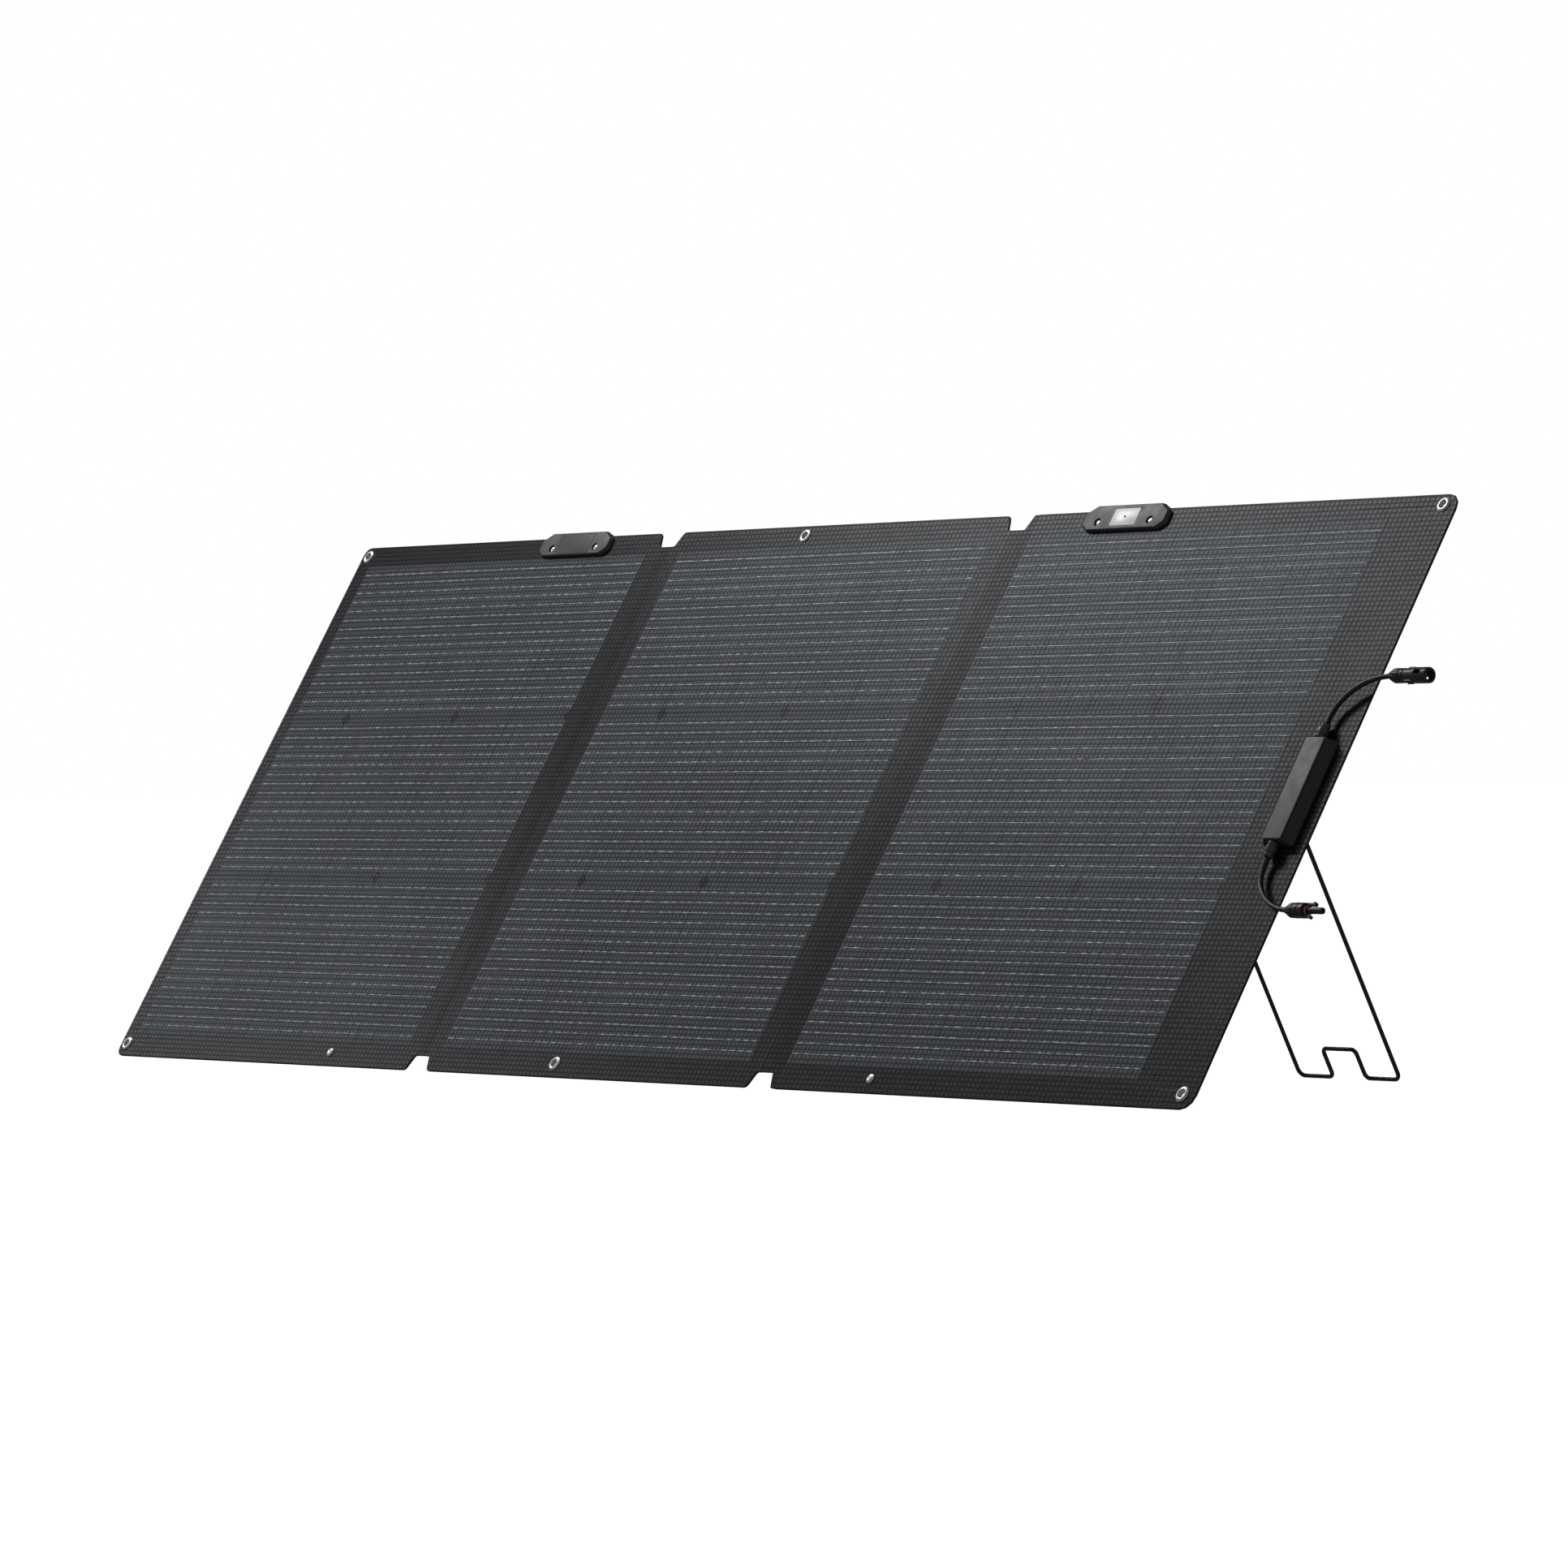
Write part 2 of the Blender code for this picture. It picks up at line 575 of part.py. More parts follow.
def make_glands():
    """Each gland screws into an end wall, and its nut closes over the sleeve at the lead."""
    body_profile = [
        (0.0029, 0.0075), (0.0041, 0.0075), (0.0041, 0.0032), (0.0056, 0.0032), (0.0056, GAP),
        (0.0033, GAP), (0.0033, -0.0045), (0.0029, -0.0045),
    ]
    nut_profile = [
        (0.0029, GLAND_LENGTH), (0.0040, GLAND_LENGTH), (0.0052, 0.0130), (0.0060, 0.0118),
        (0.0060, 0.0040), (0.0055, 0.0035), (0.0044, 0.0035), (0.0044, 0.0082), (0.0029, 0.0092),
    ]
    body_mesh = baked_from(turned("gland_body", body_profile))
    nut_mesh = baked_from(turned("gland_nut", nut_profile))
    for word, sign in (("upper", 1), ("lower", -1)):
        place = (BOX_U, BOX_V + sign * BOX_SIZE[1] / 2, GLAND_W)
        rotation = (-sign * math.pi / 2, 0, 0)
        add(word + "_gland_body", body_mesh, "black_plastic", "right", place, rotation)
        add(word + "_gland_nut", nut_mesh, "black_plastic", "right", place, rotation)


# ---- leads and connectors ----------------------------------------------------------------
def smooth_route(route, spacing):
    """Evenly spaced points of a Catmull-Rom curve through the route's points."""
    ends = [2 * Vector(route[0]) - Vector(route[1]), 2 * Vector(route[-1]) - Vector(route[-2])]
    knots = [ends[0]] + [Vector(p) for p in route] + [ends[1]]
    fine = []
    for a, b, c, d in zip(knots, knots[1:], knots[2:], knots[3:]):
        for k in range(12):
            t = k / 12
            fine.append(0.5 * (2 * b + (c - a) * t + (2 * a - 5 * b + 4 * c - d) * t * t
                               + (3 * b - a - 3 * c + d) * t ** 3))
    fine.append(knots[-2])
    lengths = [0.0]
    for a, b in zip(fine, fine[1:]):
        lengths.append(lengths[-1] + (b - a).length)
    count = max(2, round(lengths[-1] / spacing))
    points, k = [], 0
    for i in range(count + 1):
        target = lengths[-1] * i / count
        while k < len(fine) - 2 and lengths[k + 1] < target:
            k += 1
        share = (target - lengths[k]) / (lengths[k + 1] - lengths[k])
        points.append(fine[k].lerp(fine[k + 1], min(1, share)))
    return points


def tube(name, points, radius, material, body, resolution=2, base=(0, 0, 0)):
    obj = curve_object(name, [points], "FULL", False, "3D")
    obj.data.bevel_depth = radius
    obj.data.bevel_resolution = resolution
    obj.data.use_fill_caps = True
    return link(obj, material, body, base)


def make_leads():
    for word, route in (("upper", UPPER_ROUTE), ("lower", LOWER_ROUTE)):
        points = smooth_route(route, LEAD_POINT_SPACING)
        tube(word + "_lead", points, LEAD_DIAMETER / 2, "lead_sheath", "right", 3)


ALONG = (0, math.pi / 2, 0)      # turns a shape about Z to lie along the width


def make_upper_connector():
    """The socket connector: a clamp nut, a round housing with latch windows, a contact inside."""
    place = Vector(UPPER_ROUTE[-1]) + Vector((GAP, 0, 0))
    nut = [
        (0, 0.0180), (0.0074, 0.0180), (0.0074, 0.0080), (0.0065, 0.0060), (0.0042, 0.0010),
        (0.0038, 0), (0, 0),
    ]
    add("upper_connector_nut", baked_from(turned("socket_nut", nut, False)), "connector_plastic",
        "right", place, ALONG)
    housing = [
        (0.0052, 0.0557), (0.0074, 0.0557), (0.0079, 0.0549), (0.0079, 0.0360), (0.0074, 0.0345),
        (0.0074, 0.0183), (0.0046, 0.0183), (0.0046, 0.0245), (0.0052, 0.0255),
    ]
    window = block("latch_windows", (0.0200, 0.0044, 0.0100), (0, 0, 0.0435))
    mesh = baked_from(turned("socket_housing", housing, steps=18), [window])
    add("upper_connector_housing", mesh, "connector_plastic", "right", place, ALONG)
    contact = [
        (0.0012, 0.0490), (0.0022, 0.0490), (0.0022, 0.0250), (0.0042, 0.0240), (0.0042, 0.0186),
        (0.0012, 0.0186),
    ]
    add("upper_connector_contact", baked_from(turned("socket_contact", contact, steps=12)),
        "tinned_copper", "right", place, ALONG)


def make_lower_connector():
    """The plug connector: a clamp nut, a housing with two latch arms, a seal and a probe."""
    place = Vector(LOWER_ROUTE[-1]) + Vector((GAP, 0, 0))
    nut = [
        (0, 0.0140), (0.0074, 0.0140), (0.0074, 0.0075), (0.0065, 0.0058), (0.0042, 0.0010),
        (0.0038, 0), (0, 0),
    ]
    add("lower_connector_nut", baked_from(turned("plug_nut", nut, False)), "connector_plastic",
        "right", place, ALONG)
    housing = [
        (0.0036, 0.0280), (0.0071, 0.0280), (0.0076, 0.0270), (0.0076, 0.0143), (0.0036, 0.0143),
    ]
    arms = []
    for sign in (-1, 1):
        arms.append(block("latch_arm", (0.0046, 0.0018, 0.0115), (0, sign * 0.0064, 0.0325)))
        arms.append(block("latch_hook", (0.0046, 0.0030, 0.0030), (0, sign * 0.0070, 0.0370)))
    mesh = baked_from(turned("plug_housing", housing, steps=18), (), arms)
    add("lower_connector_housing", mesh, "connector_plastic", "right", place, ALONG)
    seal = [(0.0036, 0.0306), (0.0048, 0.0304), (0.0050, 0.0296), (0.0048, 0.0285), (0.0036, 0.0283)]
    add("lower_connector_seal", baked_from(turned("plug_seal", seal)), "seal_rubber", "right",
        place, ALONG)
    probe = [
        (0, 0.0410), (0.0018, 0.0410), (0.0018, 0.0515), (0.0030, 0.0515), (0.0033, 0.0507),
        (0.0033, 0.0150), (0, 0.0150),
    ]
    add("lower_connector_probe", baked_from(turned("plug_probe", probe, False, 12)),
        "connector_plastic", "right", place, ALONG)


# ---- stands ------------------------------------------------------------------------------
def leg_point(u, along):
    """A point of the stand in the array plane's axes, measured down the leg from the hinge."""
    swing = math.pi - TILT - STAND_ANGLE     # leg to the panel's down-slope direction
    return Vector((u, -along * math.cos(swing), -along * math.sin(swing)))


def make_stand_wires():
    """One bent wire: a pivot pin, a leg, a foot with a raised middle, a leg and a pivot pin."""
    notch = LEG - FOOT_NOTCH
    corners = [((-PIN_END_U, 0), 0), ((-LEG_U, 0), 0.006), ((-LEG_U, LEG), FOOT_BEND),
               ((-FOOT_NOTCH_U, LEG), 0.006), ((-FOOT_NOTCH_U, notch), 0.006),
               ((FOOT_NOTCH_U, notch), 0.006), ((FOOT_NOTCH_U, LEG), 0.006),
               ((LEG_U, LEG), FOOT_BEND), ((LEG_U, 0), 0.006), ((PIN_END_U, 0), 0)]
    path = fillet([(leg_point(*at), radius) for at, radius in corners], closed=False)
    for side, u in STAND_U.items():
        tube(side + "_stand_wire", path, WIRE, "steel_wire", side + "_stand", 2, (u, HINGE_V, HINGE_W))


def make_brackets():
    """Riveted plates with two hinge barrels and a stop lug over each leg."""
    swing = math.pi - TILT - STAND_ANGLE
    top = HINGE_OFFSET - GAP
    plate_obj = drafted("bracket", rectangle(BRACKET_SIZE, 0.005), BRACKET_THICKNESS, (1, 1))
    for vertex in plate_obj.data.vertices:
        vertex.co.y += BRACKET_RIVET_V / 2
        vertex.co.z += top - BRACKET_THICKNESS
    span = BARREL_SPAN[1] - BARREL_SPAN[0]
    middle = sum(BARREL_SPAN) / 2
    unions, cutters = [], []
    for sign in (-1, 1):
        unions.append(cylinder("barrel", BARREL, span, (sign * middle, 0, 0), "X"))
        lug_centre = leg_point(sign * 0.0745, 0.0015)
        away = Vector((0, math.sin(swing), -math.cos(swing)))
        unions.append(block("stop_lug", (0.0110, 0.0090, 0.0022),
                            lug_centre + away * (WIRE + GAP + 0.0011), (swing, 0, 0)))
        cutters.append(cylinder("pin_bore", WIRE + 1.2 * GAP, span + 0.002, (sign * middle, 0, 0), "X"))
        cutters.append(cylinder("rivet_hole", RIVET_SHANK + GAP, 0.02,
                                (sign * BRACKET_RIVET_U, BRACKET_RIVET_V, 0)))
    mesh = baked_from(plate_obj, cutters, unions)
    head = -FRONT_SHEET - GAP
    tail = HINGE_W + top - BRACKET_THICKNESS - GAP
    rivet_profile = [
        (0, head), (BRACKET_RIVET_HEAD, head), (BRACKET_RIVET_HEAD, head - STIFFENER),
        (RIVET_SHANK, head - STIFFENER), (RIVET_SHANK, tail), (0.0040, tail),
        (0.0036, tail - 0.0008), (0, tail - 0.0010),
    ]
    rivet = baked_from(turned("bracket_rivet", rivet_profile, False, 10))
    for side, u in STAND_U.items():
        add(side + "_stand_bracket", mesh, "black_plastic", side, (u, HINGE_V, HINGE_W))
        for word, sign in (("a", -1), ("b", 1)):
            place = (u + sign * BRACKET_RIVET_U, HINGE_V + BRACKET_RIVET_V, 0)
            add(side + "_stand_rivet_" + word, rivet, "nickel", side, place)


for panel in ("left", "middle", "right"):
    make_panel(panel)
for fold_side in FOLDS:
    make_fold_strip(fold_side)
make_eyelets()
make_bottom_rivets()
make_clips()
make_clip_inserts()
make_junction_box()
make_glands()
make_leads()
make_upper_connector()
make_lower_connector()
make_stand_wires()
make_brackets()
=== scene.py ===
"""Looks for the folding solar panel: camera, leads, laminated cells, folds, hardware and studio."""

import itertools
import math

import bmesh
import bpy
from mathutils import Matrix, Vector, noise


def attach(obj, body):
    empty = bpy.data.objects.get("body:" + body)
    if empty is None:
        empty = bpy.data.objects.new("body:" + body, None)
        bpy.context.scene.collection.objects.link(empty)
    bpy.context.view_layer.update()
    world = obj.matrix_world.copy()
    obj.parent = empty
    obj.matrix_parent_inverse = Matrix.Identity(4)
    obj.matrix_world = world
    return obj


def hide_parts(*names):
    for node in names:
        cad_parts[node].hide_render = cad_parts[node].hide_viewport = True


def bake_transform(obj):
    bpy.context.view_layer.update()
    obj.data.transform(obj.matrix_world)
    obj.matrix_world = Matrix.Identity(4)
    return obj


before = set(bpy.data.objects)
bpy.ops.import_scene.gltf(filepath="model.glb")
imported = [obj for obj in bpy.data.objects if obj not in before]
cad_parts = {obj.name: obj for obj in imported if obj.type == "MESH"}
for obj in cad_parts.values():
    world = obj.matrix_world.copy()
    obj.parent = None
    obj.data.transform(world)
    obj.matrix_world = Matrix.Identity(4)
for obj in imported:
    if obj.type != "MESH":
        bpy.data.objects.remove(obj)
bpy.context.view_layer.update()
bpy.context.scene.view_settings.view_transform = "Standard"

# ---- the array plane: u along the width, v up the slope, w out of the cell side ----
TILT = math.radians(58.75)
PLANE = Matrix.Translation((0, -0.269751, 0.00134881)) @ Matrix.Rotation(TILT, 4, "X")
FLAT = PLANE.inverted()
HEIGHT, HALF_WIDTH = 0.686, 0.944
THICKNESS = 0.0026
FOLDS = {
    "left": {"notch": -0.3389, "inner": -0.3329, "outer": -0.3449},
    "right": {"notch": 0.2732, "inner": 0.2690, "outer": 0.2990},
}
HINGE_CLEARANCE = 0.002
NOTCH_DEPTH, NOTCH_OUTER, NOTCH_INNER = 0.0183, 0.0210, 0.0137
PANELS = ("left", "middle", "right")


# ---- camera ----
def make_camera():
    data = bpy.data.cameras.new("product_camera")
    data.sensor_width = 36
    data.lens = 165.4
    data.clip_end = 200
    camera = bpy.data.objects.new("product_camera", data)
    bpy.context.scene.collection.objects.link(camera)
    forward = Vector((-0.7927, 0.6096, -0.00342)).normalized()
    right = forward.cross(Vector((0.0024, 0.00873, 0.99996))).normalized()
    up = right.cross(forward)
    turn = Matrix((right, up, -forward)).transposed().to_4x4()
    camera.matrix_world = Matrix.Translation((6.0989, -4.7125, 0.3346)) @ turn
    bpy.context.scene.camera = camera


make_camera()


# ---- node helpers ----
MATERIALS = {}


class Tree:
    """Builds one material's nodes. Each call makes a node and returns one of its outputs."""

    def __init__(self, name, colour, roughness, metallic=0.0, **constants):
        MATERIALS[name] = self.material = bpy.data.materials.new(name)
        self.material.use_nodes = True
        self.nodes = self.material.node_tree.nodes
        self.links = self.material.node_tree.links
        self.shader = self.nodes["Principled BSDF"]
        constants.update(Base_Color=(*colour, 1), Roughness=roughness, Metallic=metallic)
        for socket, value in constants.items():
            self.shader.inputs[socket.replace("_", " ")].default_value = value
        self.material.diffuse_color = (*colour, 1)

    def make(self, kind, inputs, output=0, **settings):
        node = self.nodes.new("ShaderNode" + kind)
        for key, value in settings.items():
            setattr(node, key, value)
        for key, value in inputs.items():
            if isinstance(value, bpy.types.NodeSocket):
                self.links.new(value, node.inputs[key])
            else:
                node.inputs[key].default_value = value
        return node.outputs[output]

    def math(self, operation, a, b=0.0, c=0.0):
        return self.make("Math", {0: a, 1: b, 2: c}, operation=operation)

    def flat_uv(self):
        return self.make("UVMap", {}, uv_map="flat")

    def place(self):
        return self.make("TexCoord", {}, "Object")

    def own_tone(self):
        """The tone that the mesh gives each face."""
        return self.make("Attribute", {}, 2, attribute_name="tone")

    def split(self, vector):
        return self.make("SeparateXYZ", {0: vector}).node.outputs[:2]

    def scaled(self, vector, scale):
        return self.make("Mapping", {"Vector": vector, "Scale": scale})

    def noise(self, vector, scale, detail=2.0, rough=0.5):
        return self.make("TexNoise", {"Vector": vector, "Scale": scale, "Detail": detail,
                                      "Roughness": rough})

    def range(self, value, low, high, to_low, to_high, smooth=False):
        return self.make("MapRange", {"Value": value, "From Min": low, "From Max": high,
                                      "To Min": to_low, "To Max": to_high},
                         interpolation_type="SMOOTHSTEP" if smooth else "LINEAR")

    def swing(self, noise, low, high):
        """Spreads a noise's usual values, 0.3 to 0.7, from low to high."""
        return self.range(noise, 0.3, 0.7, low, high)

    def mix(self, factor, a, b, blend="MIX"):
        """Mixes two colours, each a socket or plain red, green and blue."""
        a, b = (value if isinstance(value, bpy.types.NodeSocket) else (*value, 1) for value in (a, b))
        return self.make("Mix", {0: factor, 6: a, 7: b}, 2, data_type="RGBA", blend_type=blend)

    def tint(self, colour, value):
        """The colour times a value that is 1 on average."""
        grey = self.make("CombineColor", {0: value, 1: value, 2: value})
        return self.mix(1.0, colour, grey, "MULTIPLY")

    def bump(self, height, strength, distance):
        return self.make("Bump", {"Height": height, "Strength": strength, "Distance": distance})

    def link(self, socket, value):
        self.links.new(value, self.shader.inputs[socket])


GRID = (0.0070, 0.0057)         # pitch of the pressed grid along u and v
GROOVE, SLOPE = 0.36, 0.5       # a groove's share of the pitch, and its slopes' share of its width
GROOVED_AREA = 0.58
WEAVE = (0.0017, 0.00113)       # pitch of the fine weave along u and v


def pressed_grid(tree, u, v):
    """1 in the grooves of the pressed grid and 0 on the squares between them."""
    lines = []
    for value, pitch in zip((u, v), GRID):
        across, half = tree.math("PINGPONG", value, pitch / 2), pitch * GROOVE / 2
        lines.append(tree.range(across, half * (1 - SLOPE), half * (1 + SLOPE), 1.0, 0.0, True))
    return tree.math("MAXIMUM", *lines)


def plain_weave(tree, u, v):
    """The threads of the fine plain weave, from -1 to 1."""
    return tree.math("MULTIPLY", *(tree.math("SINE", tree.math("MULTIPLY", value, 2 * math.pi / pitch))
                                   for value, pitch in zip((u, v), WEAVE)))


def woven(tree, colour, line, cell, cloud, weave, bump, depth):
    """Fabric colour and bump: a pressed grid over a fine plain weave, with soft clouding."""
    uv = tree.flat_uv()
    u, v = tree.split(uv)
    grid, threads = pressed_grid(tree, u, v), plain_weave(tree, u, v)
    corner = tree.make("VectorMath", {0: uv, 1: (*GRID, 1)}, operation="SNAP")
    squares = tree.make("TexWhiteNoise", {"Vector": corner}, noise_dimensions="2D")
    tone = tree.math("MULTIPLY_ADD", grid, -line, 1.0 + line * GROOVED_AREA)
    tone = tree.math("ADD", tone, tree.range(squares, 0, 1, -cell / 2, cell / 2))
    for mottle in (tree.noise(uv, 14.0, 3.0), tree.noise(tree.scaled(uv, (420, 9, 1)), 1.0)):
        tone = tree.math("ADD", tone, tree.swing(mottle, -cloud / 2, cloud / 2))
    tone = tree.math("MULTIPLY_ADD", threads, weave, tone)
    tree.link("Base Color", tree.tint(colour, tone))
    height = tree.math("MULTIPLY_ADD", threads, 0.35, tree.math("MULTIPLY", grid, -0.65))
    tree.link("Normal", tree.bump(height, bump, depth))
    return tone


# ---- materials ----
FABRIC = (0.0104, 0.0108, 0.0114)
BACK_FABRIC = (0.020, 0.0205, 0.021)


def laminated_fabric(name, roughness, level):
    """Fabric under clear film, whose pressed grooves are darker and duller than its squares."""
    tree = Tree(name, FABRIC, roughness, Specular_Tint=(0.95, 0.975, 1.0, 1))
    tone = woven(tree, FABRIC, line=0.88, cell=0.12, cloud=0.08, weave=0.10, bump=0.5, depth=0.00012)
    tree.link("Specular IOR Level", tree.math("MULTIPLY", tone, level))
    tree.link("Roughness", tree.range(tone, 0.6, 1.3, roughness + 0.02, roughness - 0.03))


def back_cloth():
    tree = Tree("back_cloth", BACK_FABRIC, 0.82, Sheen_Weight=0.25, Sheen_Roughness=0.5)
    woven(tree, BACK_FABRIC, line=0.10, cell=0.06, cloud=0.25, weave=0.28, bump=0.8, depth=0.00020)


def cell_film():
    """Cells under the film: blue-grey, with the pressed grid and streaks across the width."""
    tree = Tree("cell_film", (0.0385, 0.0404, 0.0455), 0.44, Specular_Tint=(0.90, 0.945, 1.0, 1))
    uv = tree.flat_uv()
    u, v = tree.split(uv)
    grid = pressed_grid(tree, u, v)
    tone = tree.math("MULTIPLY_ADD", grid, -1.0, 1.56)
    streaks = tree.noise(tree.scaled(uv, (520, 16, 1)), 1.0)
    tone = tree.math("ADD", tone, tree.swing(streaks, -0.16, 0.16))
    tone = tree.math("ADD", tone, tree.swing(tree.noise(uv, 26.0, 3.0), -0.05, 0.05))
    tone = tree.math("MULTIPLY", tone, tree.own_tone())
    tree.link("Specular IOR Level", tree.math("MULTIPLY", tone, 0.213))
    blue = tree.range(tree.noise(uv, 11.0, 3.0), 0.35, 0.65, 0.0, 1.0)
    base = tree.mix(blue, (0.0350, 0.0395, 0.0460), (0.0372, 0.0386, 0.0480))
    tree.link("Base Color", tree.tint(base, tone))
    height = tree.math("MULTIPLY_ADD", plain_weave(tree, u, v), 0.3, tree.math("MULTIPLY", grid, -0.6))
    tree.link("Normal", tree.bump(height, 0.4, 0.0001))


def ribbon_metal():
    colour = (0.34, 0.35, 0.365)
    tree = Tree("ribbon_metal", colour, 0.5, 0.22)
    broken = tree.noise(tree.scaled(tree.flat_uv(), (85, 900, 1)), 1.0, 3.0, 0.6)
    tree.link("Base Color", tree.tint(colour, tree.range(broken, 0.36, 0.64, 0.30, 1.6)))
    tree.link("Roughness", tree.swing(broken, 0.55, 0.40))


def black_edge():
    colour = (0.006, 0.006, 0.0065)
    tree = Tree("cut_edge", colour, 0.62)
    fray = tree.noise(tree.place(), 900.0, 3.0)
    tree.link("Base Color", tree.tint(colour, tree.swing(fray, 0.7, 1.4)))
    tree.link("Normal", tree.bump(fray, 0.3, 0.0001))


def moulded(name, colour, roughness, grain=0.08, **constants):
    """Moulded plastic or rubber: fine grain, faint flow marks and slightly rubbed patches."""
    tree = Tree(name, colour, roughness, **constants)
    place = tree.place()
    fine, flow = tree.noise(place, 2600.0), tree.noise(place, 60.0, 3.0)
    tone = tree.math("ADD", tree.swing(flow, 0.94, 1.06), tree.swing(fine, -0.03, 0.03))
    tree.link("Base Color", tree.tint(colour, tone))
    tree.link("Roughness", tree.swing(flow, roughness - 0.05, roughness + 0.06))
    tree.link("Normal", tree.bump(fine, grain, 0.00005))


def metal(name, colour, roughness, metallic=1.0):
    """Metal with smears and fine scratches."""
    tree = Tree(name, colour, roughness, metallic)
    place = tree.place()
    smear, scratch = tree.noise(place, 700.0, 3.0), tree.noise(tree.scaled(place, (200, 2600, 2600)), 1.0)
    tree.link("Base Color", tree.tint(colour, tree.swing(smear, 0.90, 1.05)))
    tree.link("Roughness", tree.swing(smear, roughness - 0.05, roughness + 0.08))
    tree.link("Normal", tree.bump(scratch, 0.05, 0.00003))


laminated_fabric("film_fabric", 0.34, 0.099)
laminated_fabric("fold_fabric", 0.35, 0.080)
back_cloth()
cell_film()
ribbon_metal()
black_edge()
moulded("black_plastic", (0.022, 0.0225, 0.0235), 0.46)
moulded("dark_plastic", (0.012, 0.0122, 0.0128), 0.40)
moulded("clip_plastic", (0.066, 0.069, 0.071), 0.46)
moulded("plate_plastic", (0.036, 0.0375, 0.0385), 0.50, 0.05)
moulded("box_plastic", (0.048, 0.0485, 0.050), 0.38)
moulded("gland_plastic", (0.098, 0.099, 0.101), 0.34, 0.05)
moulded("grey_plastic", (0.106, 0.108, 0.112), 0.46)
# painted glow: the sun-guide window's white plastic gets a faint emission so it reads whiter, though it is
# no lamp
moulded("white_plastic", (0.93, 0.93, 0.93), 0.30, 0.03, Emission_Color=(1, 1, 1, 1),
        Emission_Strength=0.18)
moulded("connector_plastic", (0.024, 0.0262, 0.0255), 0.36, 0.05)
moulded("lead_rubber", (0.020, 0.0204, 0.021), 0.40, 0.05)
moulded("seal_rubber", (0.80, 0.20, 0.22), 0.55, 0.05)
moulded("wire_coat", (0.008, 0.008, 0.0085), 0.30, 0.04, Coat_Weight=0.3)
moulded("circuit_board", (0.02, 0.10, 0.045), 0.5)
moulded("fibre_board", (0.16, 0.17, 0.14), 0.6)
metal("nickel", (0.78, 0.78, 0.77), 0.30, 0.7)
metal("tinned_copper", (0.85, 0.80, 0.72), 0.25)

NODE_MATERIALS = (      # a CAD node takes the first material whose word is in its name
    ("front_sheet", "film_fabric"), ("stiffener", "fibre_board"), ("back_fabric", "back_cloth"),
    ("fold_strip", "fold_fabric"), ("stand_wire", "wire_coat"), ("eyelet", "nickel"), ("rivet", "nickel"),
    ("box_lid", "grey_plastic"), ("window", "white_plastic"), ("diode_board", "circuit_board"),
    ("_lead", "lead_rubber"), ("_seal", "seal_rubber"), ("_contact", "tinned_copper"),
    ("connector", "connector_plastic"), ("box_base", "dark_plastic"), ("", "black_plastic"),
)


def add_flat_uv(mesh, to_flat=Matrix.Identity(4)):
    """The UV map that the fabrics read: each corner's u and v, in metres."""
    layer = mesh.uv_layers.get("flat") or mesh.uv_layers.new(name="flat")
    for loop in mesh.loops:
        point = to_flat @ mesh.vertices[loop.vertex_index].co
        layer.data[loop.index].uv = (point.x, point.y)


def paint_nodes():
    """Gives every CAD node a procedural material and the flat UV map."""
    for name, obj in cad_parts.items():
        key = next(material for word, material in NODE_MATERIALS if word in name)
        obj.data.materials.clear()
        obj.data.materials.append(MATERIALS[key])
        add_flat_uv(obj.data, FLAT)


# ---- mesh helpers ----
def finished(obj, body, node):
    """Links a visual piece and tells the frame its body and the CAD node it replaces."""
    bpy.context.scene.collection.objects.link(obj)
    if body:
        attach(obj, body)
    if node:
        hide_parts(node)
    return obj


def mesh_of(shape, name="shape"):
    mesh = bpy.data.meshes.new(name)
    shape.normal_update()
    shape.to_mesh(mesh)
    shape.free()
    return mesh


def placed(shape, where, turn=(0, 0, 0)):
    """Moves a shape from its own axes to the array plane's."""
    rotation = Matrix.Rotation(turn[2], 4, "Z") @ Matrix.Rotation(turn[1], 4, "Y") \
        @ Matrix.Rotation(turn[0], 4, "X")
    shape.transform(Matrix.Translation(where) @ rotation)
    return shape


def piece(name, shape, material, side, node=None, where=(0, 0, 0), turn=(0, 0, 0), angle=35):
    """A visual piece on a side's panel. Where and turn put its shape in the array plane's axes."""
    mesh = mesh_of(placed(shape, where, turn), name)
    mesh.shade_smooth()
    mesh.set_sharp_from_angle(angle=math.radians(angle))
    add_flat_uv(mesh)
    mesh.transform(PLANE)
    mesh.materials.append(MATERIALS[material])
    return finished(bpy.data.objects.new(name, mesh), side and side + "_panel", node)


def skin(shape, rings, turned=False):
    """Faces between neighbouring rings that have the same number of points."""
    faces = []
    for a, b in zip(rings, rings[1:]):
        for i in range(len(a)):
            j = (i + 1) % len(a)
            corners = (a[i], a[j], b[j], b[i]) if turned else (a[i], b[i], b[j], a[j])
            faces.append(shape.faces.new(corners))
    return faces


def fillet(corners, closed=True, steps=4):
    """Points of a path whose corners, given as (point, radius), are rounded with arcs."""
    points = []
    for i, (corner, radius) in enumerate(corners):
        here = Vector(corner)
        if not radius or (not closed and i in (0, len(corners) - 1)):
            points.append(here)
            continue
        back = (Vector(corners[i - 1][0]) - here).normalized()
        ahead = (Vector(corners[(i + 1) % len(corners)][0]) - here).normalized()
        half = back.angle(ahead) / 2
        centre = here + (back + ahead).normalized() * radius / math.sin(half)
        trim = radius / math.tan(half)
        start = (here + back * trim - centre).normalized()
        end = (here + ahead * trim - centre).normalized()
        points += [centre + start.slerp(end, k / steps) * radius for k in range(steps + 1)]
    return points


RIPPLE_HEIGHT, RIPPLE_EDGE = 0.0006, 0.09


